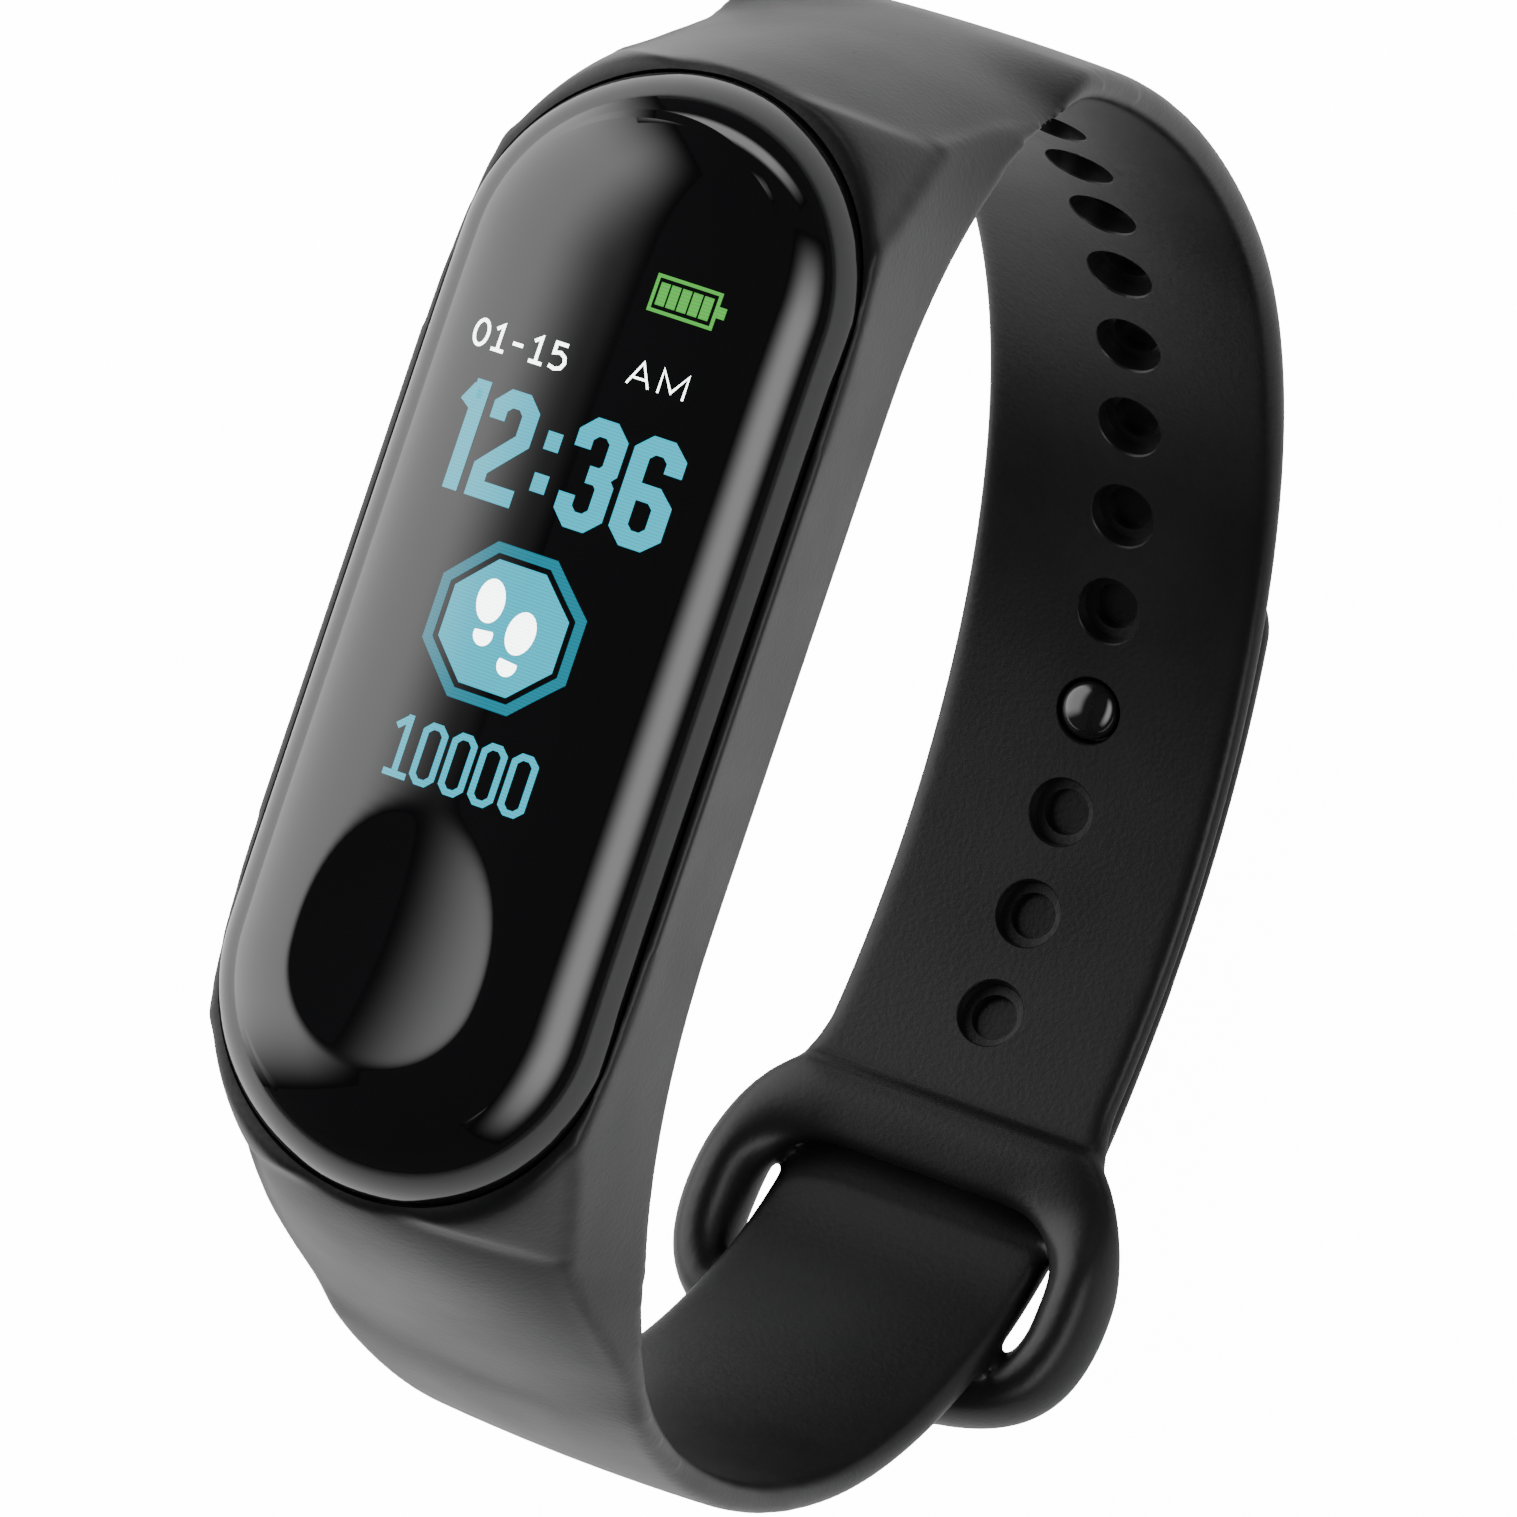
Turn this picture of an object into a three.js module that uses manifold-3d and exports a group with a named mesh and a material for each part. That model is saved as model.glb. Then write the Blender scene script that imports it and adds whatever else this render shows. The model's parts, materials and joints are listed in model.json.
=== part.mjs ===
// Fitness tracker band: a capsule with a domed lens, display and touch dish, held in a one-piece
// silicone strap. The strap's clasp arm threads through the loop of its holed arm and is locked
// by a mushroom stud. Millimetres, +X to the display's right, +Y to its 12 o'clock end, +Z out of
// the display. The origin is on the wrist's axis, under the middle of the capsule.
import * as THREE from "three";
import { mergeVertices } from "three/addons/utils/BufferGeometryUtils.js";
import Module from "manifold-3d";

const wasm = await Module();
wasm.setup();
const DEG = Math.PI / 180;

// ---- Driving dimensions --------------------------------------------------------------------

// Strap path, along its skin side. Each arc is a bend radius and the angle it turns through.
const SKIN_HEIGHT = 30.5; // from the wrist's axis up to the skin side under the capsule
const BEND_EASE = 6; // length over which one bend radius changes into the next
const HOLED_SHOULDER = { radius: 15, sweep: 83, behindEnd: 9.8 }; // starts this far inside the capsule's end
const HOLED_FLANK = { radius: 60, sweep: 24.5 };
const HOLED_BACK = { pastEnd: 8.6, sweep: 150 }; // radius over half the capsule's length
const CLASP_SHOULDER = { radius: 21.5, sweep: 69, behindEnd: 14.1 };
const CLASP_FLANK = { radius: 50, sweep: 30 };
const CLASP_BACK = { pastEnd: 9.4, sweep: 90 };

// Strap sections
const STRAP_THICKNESS = 1.6;
const STRAP_EDGE = 0.6; // round on the strap's long edges
const STRAP_CROWN = 0.25; // how far the outer face falls from its middle to its edges
const THREAD_CROWN = 0.1; // the same where the clasp arm runs through the loop
const HOLED_WIDTH = 15.1;
const CLASP_WIDTH = 14.3;
const LAYER_GAP = 0.3; // between the holed arm and the tail lying on it

// Shoulders: past the capsule the thick cradle thins down to an arm. The middle of the outer face
// leaves the lip at a slope, and its edges have already fallen most of the way.
const HOLED_FORM = { run: 9.1, slope: 70, leavePull: 0.4, arrivePull: 0.1 };
const CLASP_FORM = { run: 9.8, slope: 55, leavePull: 0.22, arrivePull: 0.16 };
const EDGE_FALL = 6.2; // fall of the outer face's edges beside the capsule's ends
const EDGE_FALL_FROM = 11; // distance from the capsule's middle where they start to fall
const END_HALF_WIDTH = 7.5; // of the outer face beside the capsule's ends

// Stations along the strap's skin side, past the capsule's end
const WAIST_FROM = -3; // where the strap starts to narrow from the cradle's width
const WAIST_TO = 19;

// Adjustment holes
const HOLE_COUNT = 12;
const HOLE_PITCH = 5.1;
const HOLE_RADIUS = 1.1;
const COUNTERBORE_RADIUS = 1.6;
const COUNTERBORE_DEPTH = 0.8;
const STUD_HOLE = 8; // index of the hole that the stud is in

// Loop at the end of the holed arm
const LOOP_SHARE = 1.4; // its root is this many capsule lengths
const LOOP_PLACE = 25.42; // and this much more along the strap from the capsule's end
const LOOP_AFTER_HOLES = 6.9; // from the last hole to where the loop's frame starts
const LOOP_FLARE = 5.5; // length over which the arm widens to the loop
const LOOP_HALF_WIDTH = 11;
const LOOP_TILT = 13.9; // the frame leans out from the strap's curve by this angle
const LOOP_BAR = 3.2; // thickness of the side and end bars
const LOOP_EDGE = 1.2; // round on the bars
const LOOP_END_BAR = 3.1;
const LOOP_NECK_INSET = 1.8; // the arm meets the loop this much narrower on each side
const LOOP_ROOT_BAR = 1.6;
const SLOT_SIDE_GAP = 0.5; // between the clasp arm's edge and the slot's side
const SLOT_CORNER = 3;
const SLOT_ROOM = 6.3; // slot length left over beside the thickness of the arm in it

// Tail and stud
const THREAD_ROOM = 2.64; // from the root bar to the arm's middle in the slot, less a thickness
const THREAD_SEARCH = 75; // the arm leaves its bend before this station past the capsule's end
const THREAD_START_PULL = 8; // how far it holds its first direction on the way through
const THREAD_END_PULL = 6; // and how early it takes up the tail's direction
const TAIL_HINGE_FROM_LOOP = 10; // the tail bends freely this far past the loop's root
const TAIL_PAST_STUD = 8; // from the stud to the tail's tip
const TIP_LENGTH = 3;
const HEAD_RADIUS = 1.45;
const HEAD_PROUD = 0.55; // how far the stud's dome stands over the skin side
const SHANK_RADIUS = 0.8;
const SHANK_CLEARANCE = 0.15;
const BUTTON_RADIUS = 2.2;
const BUTTON_HEIGHT = 0.6;

// Capsule outline: every level is a stadium about the same straight spine
const CAPSULE_LENGTH = 46.2;
const CAPSULE_WIDTH = 17;
const SEAM_HEIGHT = 7.55; // where the lens meets the strap, above the skin side
const SEAM_SAG = 0.004; // the seam dips towards the ends by this times the distance squared
const SEAM_FLAT = 10; // the seam is level this far each way from the middle
const LENS_RISE = 4.1;
const LENS_SQUARENESS = 2.5; // 2 is an ellipse, more is boxier
const LENS_RIM = 1.02; // the curve would reach the vertical this much further out than the rim
const LENS_SKIRT = 1.25; // lens below the seam, hidden in the strap
const LENS_SHELF_WALL = 1.55; // width of the skirt's foot
const LENS_POCKET_INSET = 2.5; // display pocket's edge, in from the lens's edge
const LENS_COVER = 1.55; // lens above the display pocket
const POCKET_DEPTH = 1.5;
const SHELL_INSET = 0.95; // capsule body's edge, in from the lens's edge
const SHELL_WALL = 0.8;
const REAR_PROUD = 0.6; // the rear face stands this far into the wrist
const REAR_FLOOR = 1;
const REAR_EDGE = 0.8;
const DISH = { radius: 4.1, depth: 0.45, fromEnd: 9.05 }; // touch key

// Cradle, the part of the strap round the capsule
const CAPSULE_CLEARANCE = 0.3;
const LIP_CLEARANCE = 0.12;
const LIP_WALL = 0.3;
const SKIN_WALL = 0.5; // strap beside the capsule at the skin side

// Stack inside the capsule
const FIT = 0.3; // gap between stacked pieces
const SOLDER = 0.12;
const BOARD = 0.6;
const BATTERY = { width: 10.6, length: 21, height: 2.9 };
const MOTOR = { radius: 3.6, height: 2.7, wall: 0.25, shaft: 0.4, fromEnd: 9.1 };
const DISPLAY = { width: 11.6, length: 23.6, thick: 1.1, offset: 2.6 };
const WINDOW_RADIUS = 3;
const CONTACT = { radius: 0.9, spread: 2.2, fromEnd: 6.5 };

const ROUND = 24; // sides of a round piece
const CORNER = 2; // steps round a strap's long edge

// ---- Worked-out sizes ----------------------------------------------------------------------

const LENS_RADIUS = CAPSULE_WIDTH / 2;
const SPINE = CAPSULE_LENGTH / 2 - LENS_RADIUS; // half of the straight spine
const HALF_LENGTH = CAPSULE_LENGTH / 2;
const SHELL_RADIUS = LENS_RADIUS - SHELL_INSET;
const LIP_RADIUS = LENS_RADIUS + LIP_CLEARANCE;
const LIP_HALF_WIDTH = LIP_RADIUS + LIP_WALL;
const SKIN_HALF_WIDTH = SHELL_RADIUS + CAPSULE_CLEARANCE + SKIN_WALL;
const seamAt = (y) => SKIN_HEIGHT + SEAM_HEIGHT - SEAM_SAG * Math.max(0, Math.abs(y) - SEAM_FLAT) ** 2;
const SKIRT_FOOT = SKIN_HEIGHT + SEAM_HEIGHT - LENS_SKIRT;
const LEDGE = SKIRT_FOOT - CAPSULE_CLEARANCE;
const CROWN = SKIN_HEIGHT + SEAM_HEIGHT + LENS_RISE;
const REAR_FACE = SKIN_HEIGHT - REAR_PROUD;
const DISH_Y = DISH.fromEnd - HALF_LENGTH;

// ---- Small helpers -------------------------------------------------------------------------

const smooth = (t) => {
  const c = Math.min(1, Math.max(0, t));
  return c * c * (3 - 2 * c);
};
const mix = (a, b, t) => a + (b - a) * t;
const steps = (count) => Array.from({ length: count + 1 }, (_, i) => i / count);

function toSolid(geometry) {
  const bare = geometry.clone();
  bare.deleteAttribute("normal");
  bare.deleteAttribute("uv");
  const merged = mergeVertices(bare, 1e-4);
  return new wasm.Manifold(
    new wasm.Mesh({
      numProp: 3,
      vertProperties: new Float32Array(merged.attributes.position.array),
      triVerts: new Uint32Array(merged.index.array),
    }),
  );
}

function toGeometry(solid) {
  const mesh = solid.getMesh();
  const geometry = new THREE.BufferGeometry();
  geometry.setAttribute("position", new THREE.BufferAttribute(mesh.vertProperties, 3));
  geometry.setIndex(new THREE.BufferAttribute(mesh.triVerts, 1));
  geometry.computeVertexNormals();
  return geometry;
}

const cut = (geometry, ...tools) =>
  toGeometry(tools.reduce((solid, tool) => solid.subtract(toSolid(tool)), toSolid(geometry)));

// A closed solid through equal loops of points, with a flat cap on each end loop.
function loft(loops) {
  const count = loops[0].length;
  const positions = loops.flat().flatMap((p) => [p.x, p.y, p.z]);
  const index = [];
  for (let i = 0; i + 1 < loops.length; i++)
    for (let j = 0; j < count; j++) {
      const a = i * count + j;
      const b = i * count + ((j + 1) % count);
      index.push(a, b, a + count, b, b + count, a + count);
    }
  for (const [ring, flip] of [[0, true], [loops.length - 1, false]]) {
    const middle = new THREE.Vector3();
    for (const p of loops[ring]) middle.addScaledVector(p, 1 / count);
    const hub = positions.length / 3;
    positions.push(middle.x, middle.y, middle.z);
    for (let j = 0; j < count; j++) {
      const a = ring * count + j;
      const b = ring * count + ((j + 1) % count);
      index.push(...(flip ? [b, a, hub] : [a, b, hub]));
    }
  }
  const geometry = new THREE.BufferGeometry();
  geometry.setAttribute("position", new THREE.Float32BufferAttribute(positions, 3));
  geometry.setIndex(index);
  if (signedVolume(geometry) < 0) {
    for (let i = 0; i < index.length; i += 3) [index[i + 1], index[i + 2]] = [index[i + 2], index[i + 1]];
    geometry.setIndex(index);
  }
  geometry.computeVertexNormals();
  return geometry;
}

function signedVolume(geometry) {
  const p = geometry.attributes.position;
  const [a, b, c] = [new THREE.Vector3(), new THREE.Vector3(), new THREE.Vector3()];
  let volume = 0;
  for (let i = 0; i < geometry.index.count; i += 3) {
    a.fromBufferAttribute(p, geometry.index.getX(i));
    b.fromBufferAttribute(p, geometry.index.getX(i + 1));
    c.fromBufferAttribute(p, geometry.index.getX(i + 2));
    volume += a.dot(b.cross(c)) / 6;
  }
  return volume;
}

const root = new THREE.Group();
function addPiece(name, geometry, material) {
  const mesh = new THREE.Mesh(geometry, material);
  mesh.name = name;
  root.add(mesh);
}

const finish = (color, roughness, metalness = 0) => new THREE.MeshStandardMaterial({ color, roughness, metalness });
const silicone = () => finish(0x1d1d1f, 0.55);
const glossBlack = () => finish(0x08090a, 0.08);
const blackPlastic = () => finish(0x141416, 0.4);
const boardGreen = () => finish(0x14452b, 0.5);
const chipBlack = () => finish(0x18181a, 0.45);
const gold = () => finish(0xcfa14a, 0.3, 1);
const steel = () => finish(0xb8bcc0, 0.3, 1);

// ---- Strap path ----------------------------------------------------------------------------

// A path in the YZ plane from under the capsule's middle: +1 goes up and over to 12 o'clock.
function bandPath(side, shoulder, flank, back) {
  const lead = HALF_LENGTH - shoulder.behindEnd;
  let at = lead;
  let bend = 0;
  const changes = [shoulder, flank, back].map(({ radius, sweep }) => {
    const change = { at, step: 1 / radius - bend };
    bend = 1 / radius;
    at += radius * sweep * DEG;
    return change;
  });
  const curvature = (s) => changes.reduce((sum, c) => sum + c.step * smooth((s - c.at) / BEND_EASE + 0.5), 0);
  const step = 0.1;
  const points = [];
  let [y, z, turn] = [0, SKIN_HEIGHT, 0];
  for (let s = 0; s <= at; s += step) {
    points.push({ y, z, turn });
    const next = turn + (step * (curvature(s) + curvature(s + step))) / 2;
    y += side * step * Math.cos((turn + next) / 2);
    z -= step * Math.sin((turn + next) / 2);
    turn = next;
  }
  return (s) => {
    const i = Math.min(points.length - 2, Math.max(0, Math.floor(s / step)));
    const t = s / step - i;
    const turnHere = mix(points[i].turn, points[i + 1].turn, t);
    return {
      at: new THREE.Vector2(mix(points[i].y, points[i + 1].y, t), mix(points[i].z, points[i + 1].z, t)),
      along: new THREE.Vector2(side * Math.cos(turnHere), -Math.sin(turnHere)),
      out: new THREE.Vector2(side * Math.sin(turnHere), Math.cos(turnHere)),
    };
  };
}
const roundBack = ({ pastEnd, sweep }) => ({ radius: HALF_LENGTH + pastEnd, sweep });
const holedPath = bandPath(1, HOLED_SHOULDER, HOLED_FLANK, roundBack(HOLED_BACK));
const claspPath = bandPath(-1, CLASP_SHOULDER, CLASP_FLANK, roundBack(CLASP_BACK));

// The station where a path passes under a given distance from the capsule's middle.
function stationUnder(path, distance) {
  let s = 0;
  while (Math.abs(path(s).at.x) < distance) s += 0.1;
  return s;
}
const HOLED_END = stationUnder(holedPath, HALF_LENGTH);
const CLASP_END = stationUnder(claspPath, HALF_LENGTH);
const offset = (place, distance) => place.at.clone().addScaledVector(place.out, distance);

// Strap half width at a station: the cradle's width, narrowing to the arm's.
const halfWidth = (s, end, armWidth) =>
  mix(SKIN_HALF_WIDTH, armWidth / 2, smooth((s - end - WAIST_FROM) / (WAIST_TO - WAIST_FROM)));

// One cross-section of the strap between a skin-side point and an outer point of the YZ plane.
// The outer face is level out to "flat" and then falls away by "fall" at its edges.
function section({ inner, outer, halfIn, halfOut, edge, fall, flat = 0 }) {
  const up = outer.clone().sub(inner);
  const height = up.length();
  up.normalize();
  const r = Math.min(edge, 0.45 * (height - fall));
  const topAt = (x) => height - fall * (Math.max(0, Math.abs(x) - flat) / (halfOut - flat)) ** 2;
  const outline = [];
  const corner = (cx, cy, from) => {
    for (const t of steps(CORNER)) {
      const a = (from + 90 * t) * DEG;
      outline.push([cx + r * Math.cos(a), cy + r * Math.sin(a)]);
    }
  };
  corner(halfIn - r, r, -90);
  corner(halfOut - r, topAt(halfOut - r) - r, 0);
  for (const t of steps(10).slice(1, -1)) {
    const x = (halfOut - r) * Math.cos(180 * t * DEG);
    outline.push([x, topAt(x)]);
  }
  corner(r - halfOut, topAt(halfOut - r) - r, 90);
  corner(r - halfIn, r, 180);
  return outline.map(([x, h]) => new THREE.Vector3(x, inner.x + up.x * h, inner.y + up.y * h));
}

const armSection = (place, half, { near = 0, thickness = STRAP_THICKNESS, fall = STRAP_CROWN } = {}) =>
  section({
    inner: offset(place, near),
    outer: offset(place, near + thickness),
    halfIn: half,
    halfOut: half,
    edge: STRAP_EDGE,
    fall,
  });

// ---- Cradle: the sleeve round the capsule and its two shoulders ------------------------------

// A stadium loop about the spine at one radius; z may be a number or a function of y.
function stadium(radius, z, sides = 32) {
  const height = typeof z === "function" ? z : () => z;
  return Array.from({ length: sides }, (_, i) => {
    const a = ((i + 0.5) / sides) * 2 * Math.PI;
    const y = radius * Math.sin(a) + Math.sign(Math.sin(a)) * SPINE;
    return new THREE.Vector3(radius * Math.cos(a), y, height(y));
  });
}
const stadiumPlate = (radius, low, high) => loft([stadium(radius, low), stadium(radius, high)]);

const LIP_END = HALF_LENGTH + LIP_CLEARANCE + LIP_WALL;
function shoulderSections(path, end, armWidth, form) {
  const side = Math.sign(path(end).at.x);
  const from = end + LIP_END - HALF_LENGTH;
  const to = end + form.run;
  const last = path(to);
  const lip = new THREE.Vector2(side * LIP_END, seamAt(LIP_END));
  const foot = offset(last, STRAP_THICKNESS);
  const span = lip.distanceTo(foot);
  const slope = form.slope * DEG;
  const leaving = new THREE.Vector2(side * Math.cos(slope), -Math.sin(slope));
  const curve = new THREE.CubicBezierCurve(
    lip,
    lip.clone().addScaledVector(leaving, form.leavePull * span),
    foot.clone().addScaledVector(last.along, -form.arrivePull * span),
    foot,
  );
  return steps(8).map((t) => {
    const s = mix(from, to, t);
    const half = halfWidth(s, end, armWidth);
    return section({
      inner: path(s).at,
      outer: curve.getPoint(t),
      halfIn: half,
      halfOut: mix(END_HALF_WIDTH, half, smooth(t * 1.15)),
      edge: STRAP_EDGE,
      fall: mix(EDGE_FALL, STRAP_CROWN, smooth(t)),
    });
  });
}

function cradle() {
  const middle = steps(24).slice(1, -1).map((t) => {
    const y = mix(-LIP_END, LIP_END, t);
    const path = y < 0 ? claspPath : holedPath;
    const falling = (Math.max(0, Math.abs(y) - EDGE_FALL_FROM) / (LIP_END - EDGE_FALL_FROM)) ** 2;
    const halfOut = mix(LIP_HALF_WIDTH, END_HALF_WIDTH, falling);
    const pastSpine = Math.max(0, Math.abs(y) - SPINE);
    return section({
      inner: new THREE.Vector2(y, path(stationUnder(path, Math.abs(y))).at.y),
      outer: new THREE.Vector2(y, seamAt(y)),
      halfIn: SKIN_HALF_WIDTH,
      halfOut,
      edge: LIP_WALL / 2,
      fall: EDGE_FALL * falling,
      flat: Math.min(halfOut - LIP_WALL / 2, Math.sqrt(Math.max(0, LIP_HALF_WIDTH ** 2 - pastSpine ** 2))),
    });
  });
  const holed = shoulderSections(holedPath, HOLED_END, HOLED_WIDTH, HOLED_FORM);
  const clasp = shoulderSections(claspPath, CLASP_END, CLASP_WIDTH, CLASP_FORM).reverse();
  const below = SKIN_HEIGHT - 20;
  const above = CROWN + 5;
  const bodyHole = stadiumPlate(SHELL_RADIUS + CAPSULE_CLEARANCE, below, above);
  const lensHole = stadiumPlate(LIP_RADIUS, LEDGE, above);
  return cut(loft([...clasp, ...middle, ...holed]), bodyHole, lensHole);
}
addPiece("strap_cradle", cradle(), silicone());

// ---- Holed arm and its loop ------------------------------------------------------------------

const LOOP_STATION = HOLED_END + LOOP_SHARE * CAPSULE_LENGTH + LOOP_PLACE;
const holeStation = (i) => LOOP_STATION - LOOP_AFTER_HOLES - HOLE_PITCH * (HOLE_COUNT - 1 - i);

// A geometry built along +Z, set on the holed path so that its +Z points away from the wrist.
function setOnPath(geometry, s, distance = 0) {
  const place = holedPath(s);
  const at = offset(place, distance);
  const basis = new THREE.Matrix4().makeBasis(
    new THREE.Vector3(1, 0, 0),
    new THREE.Vector3(0, place.along.x, place.along.y),
    new THREE.Vector3(0, place.out.x, place.out.y),
  );
  return geometry.applyMatrix4(basis.setPosition(0, at.x, at.y));
}
const rod = (radius, low, high, sides = ROUND) =>
  new THREE.CylinderGeometry(radius, radius, high - low, sides).rotateX(90 * DEG).translate(0, 0, (low + high) / 2);

function holedArm() {
  const from = HOLED_END + HOLED_FORM.run + LAYER_GAP;
  const to = LOOP_STATION - LAYER_GAP;
  const flareHalf = LOOP_HALF_WIDTH - LOOP_NECK_INSET;
  const loops = steps(32).map((t) => {
    const s = mix(from, to, t);
    const flare = smooth((s - LOOP_STATION + LOOP_FLARE) / LOOP_FLARE);
    return armSection(holedPath(s), mix(halfWidth(s, HOLED_END, HOLED_WIDTH), flareHalf, flare));
  });
  const holes = Array.from({ length: HOLE_COUNT }, (_, i) => [
    setOnPath(rod(HOLE_RADIUS, -1, STRAP_THICKNESS + 1, 16), holeStation(i)),
    setOnPath(rod(COUNTERBORE_RADIUS, -1, COUNTERBORE_DEPTH, 16), holeStation(i)),
  ]);
  return cut(loft(loops), ...holes.flat());
}
addPiece("strap_holed_arm", holedArm(), silicone());

// The loop's own frame: +Y runs from its root bar to its end bar, +Z away from the wrist.
const loopPlace = holedPath(LOOP_STATION);
const loopRoot = offset(loopPlace, STRAP_THICKNESS / 2);
const loopAlong = loopPlace.along.clone().rotateAround(new THREE.Vector2(), LOOP_TILT * DEG);
const loopOut = new THREE.Vector2(-loopAlong.y, loopAlong.x);
const loopFrame = new THREE.Matrix4()
  .makeBasis(
    new THREE.Vector3(1, 0, 0),
    new THREE.Vector3(0, loopAlong.x, loopAlong.y),
    new THREE.Vector3(0, loopOut.x, loopOut.y),
  )
  .setPosition(0, loopRoot.x, loopRoot.y);
const SLOT_HALF_WIDTH = CLASP_WIDTH / 2 + SLOT_SIDE_GAP;
const SLOT_FROM = LOOP_ROOT_BAR;
const SLOT_TO = SLOT_FROM + STRAP_THICKNESS + SLOT_ROOM;
const LOOP_LENGTH = SLOT_TO + LOOP_END_BAR;

function loopPiece() {
  const outline = new THREE.Shape();
  const [half, widest] = [LOOP_HALF_WIDTH, LOOP_LENGTH * 0.42];
  outline.moveTo(-half * 0.8, -LOOP_EDGE * 2);
  outline.lineTo(half * 0.8, -LOOP_EDGE * 2);
  outline.bezierCurveTo(half * 0.93, 0, half, widest * 0.45, half, widest);
  outline.bezierCurveTo(half, LOOP_LENGTH * 0.88, half * 0.68, LOOP_LENGTH, 0, LOOP_LENGTH);
  outline.bezierCurveTo(-half * 0.68, LOOP_LENGTH, -half, LOOP_LENGTH * 0.88, -half, widest);
  outline.bezierCurveTo(-half, widest * 0.45, -half * 0.93, 0, -half * 0.8, -LOOP_EDGE * 2);
  const frame = new THREE.ExtrudeGeometry(outline, {
    depth: LOOP_BAR - 2 * LOOP_EDGE,
    bevelThickness: LOOP_EDGE,
    bevelSize: LOOP_EDGE,
    bevelOffset: -LOOP_EDGE,
    bevelSegments: 2,
    curveSegments: 8,
  });
  frame.translate(0, 0, LOOP_EDGE - LOOP_BAR / 2);
  // The slot, with its sides and end rounded into both faces. Its root side stays straight.
  const slotLoop = (grow, z) => {
    const [w, from, to, r] = [SLOT_HALF_WIDTH + grow, SLOT_FROM, SLOT_TO + grow, SLOT_CORNER];
    const corners = [[r - w, from + r, 180], [w - r, from + r, 270], [w - r, to - r, 0], [r - w, to - r, 90]];
    return corners.flatMap(([x, y, start]) =>
      steps(5).map((t) => {
        const a = (start + 90 * t) * DEG;
        return new THREE.Vector3(x + r * Math.cos(a), y + r * Math.sin(a), z);
      }),
    );
  };
  const rounding = steps(3).map((t) => {
    const a = 90 * (1 - t) * DEG;
    return { grow: LOOP_EDGE * (1 - Math.cos(a)), z: LOOP_BAR / 2 - LOOP_EDGE * (1 - Math.sin(a)) };
  });
  const slot = loft([
    slotLoop(LOOP_EDGE, -LOOP_BAR),
    ...rounding.map(({ grow, z }) => slotLoop(grow, -z)),
    ...rounding.reverse().map(({ grow, z }) => slotLoop(grow, z)),
    slotLoop(LOOP_EDGE, LOOP_BAR),
  ]);
  const rootEnd = new THREE.BoxGeometry(4 * half, 8, 8).translate(0, -4, 0);
  // The root bar's outer side is no higher than the strap, because the clasp arm lies over it.
  const relief = new THREE.BoxGeometry(2 * SLOT_HALF_WIDTH, 2 * LOOP_ROOT_BAR + 1, LOOP_BAR);
  relief.translate(0, 0.5, STRAP_THICKNESS / 2 + LOOP_BAR / 2);
  return cut(frame, slot, rootEnd, relief).applyMatrix4(loopFrame);
}
addPiece("strap_loop", loopPiece(), silicone());

// ---- Clasp arm, threaded through the loop, and its tail --------------------------------------

const HINGE_STATION = LOOP_STATION - TAIL_HINGE_FROM_LOOP;
const TIP_STATION = holeStation(STUD_HOLE) - TAIL_PAST_STUD;
const TAIL_NEAR = STRAP_THICKNESS + LAYER_GAP; // tail's inner face above the holed arm's skin side
const MID = STRAP_THICKNESS / 2;

// The strap's middle line from a station on the clasp bend through the slot to the tail's hinge.
function threadFrom(station) {
  const leave = claspPath(station);
  const arrive = holedPath(HINGE_STATION);
  const start = offset(leave, MID);
  const hinge = offset(arrive, TAIL_NEAR + MID);
  return new THREE.CubicBezierCurve(
    start,
    start.clone().addScaledVector(leave.along, THREAD_START_PULL),
    hinge.clone().addScaledVector(arrive.along, THREAD_END_PULL),
    hinge,
  );
}

// How far past the loop's root a thread crosses the loop's middle plane.
function slotCrossing(thread) {
  const points = steps(60).map((t) => thread.getPoint(t).sub(loopRoot));
  const through = points.findIndex((p) => p.dot(loopOut) > 0);
  if (through < 1) return Infinity;
  const [before, after] = [points[through - 1], points[through]];
  const share = before.dot(loopOut) / before.clone().sub(after).dot(loopOut);
  return before.clone().lerp(after, share).dot(loopAlong);
}

// The arm leaves its bend where that brings it through the slot at the right distance.
function threadStation() {
  let best = CLASP_END + CLASP_FORM.run;
  let miss = Infinity;
  for (let s = best; s < CLASP_END + THREAD_SEARCH; s += 0.1) {
    const away = Math.abs(slotCrossing(threadFrom(s)) - SLOT_FROM - STRAP_THICKNESS - THREAD_ROOM);
    if (away < miss) [best, miss] = [s, away];
  }
  return best;
}
const THREAD_STATION = threadStation();
function threadedPlaces() {
  const thread = threadFrom(THREAD_STATION);
  return steps(14).map((t) => {
    const along = thread.getTangent(t);
    return { at: thread.getPoint(t), along, out: new THREE.Vector2(along.y, -along.x) };
  });
}

function claspArm() {
  const from = CLASP_END + CLASP_FORM.run + LAYER_GAP;
  const to = THREAD_STATION;
  const bend = steps(12).slice(0, -1).map((t) => {
    const s = mix(from, to, t);
    return armSection(claspPath(s), halfWidth(s, CLASP_END, CLASP_WIDTH));
  });
  const threaded = threadedPlaces();
  // It stops short of the hinge by the tail's round end and a gap.
  const last = threaded.length - 1;
  const stop = MID + LAYER_GAP;
  threaded[last] = { ...threaded[last], at: threaded[last].at.clone().addScaledVector(threaded[last].along, -stop) };
  const flatter = { near: -MID, fall: THREAD_CROWN };
  return loft([...bend, ...threaded.map((place) => armSection(place, CLASP_WIDTH / 2, flatter))]);
}
addPiece("strap_clasp_arm", claspArm(), silicone());

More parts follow.
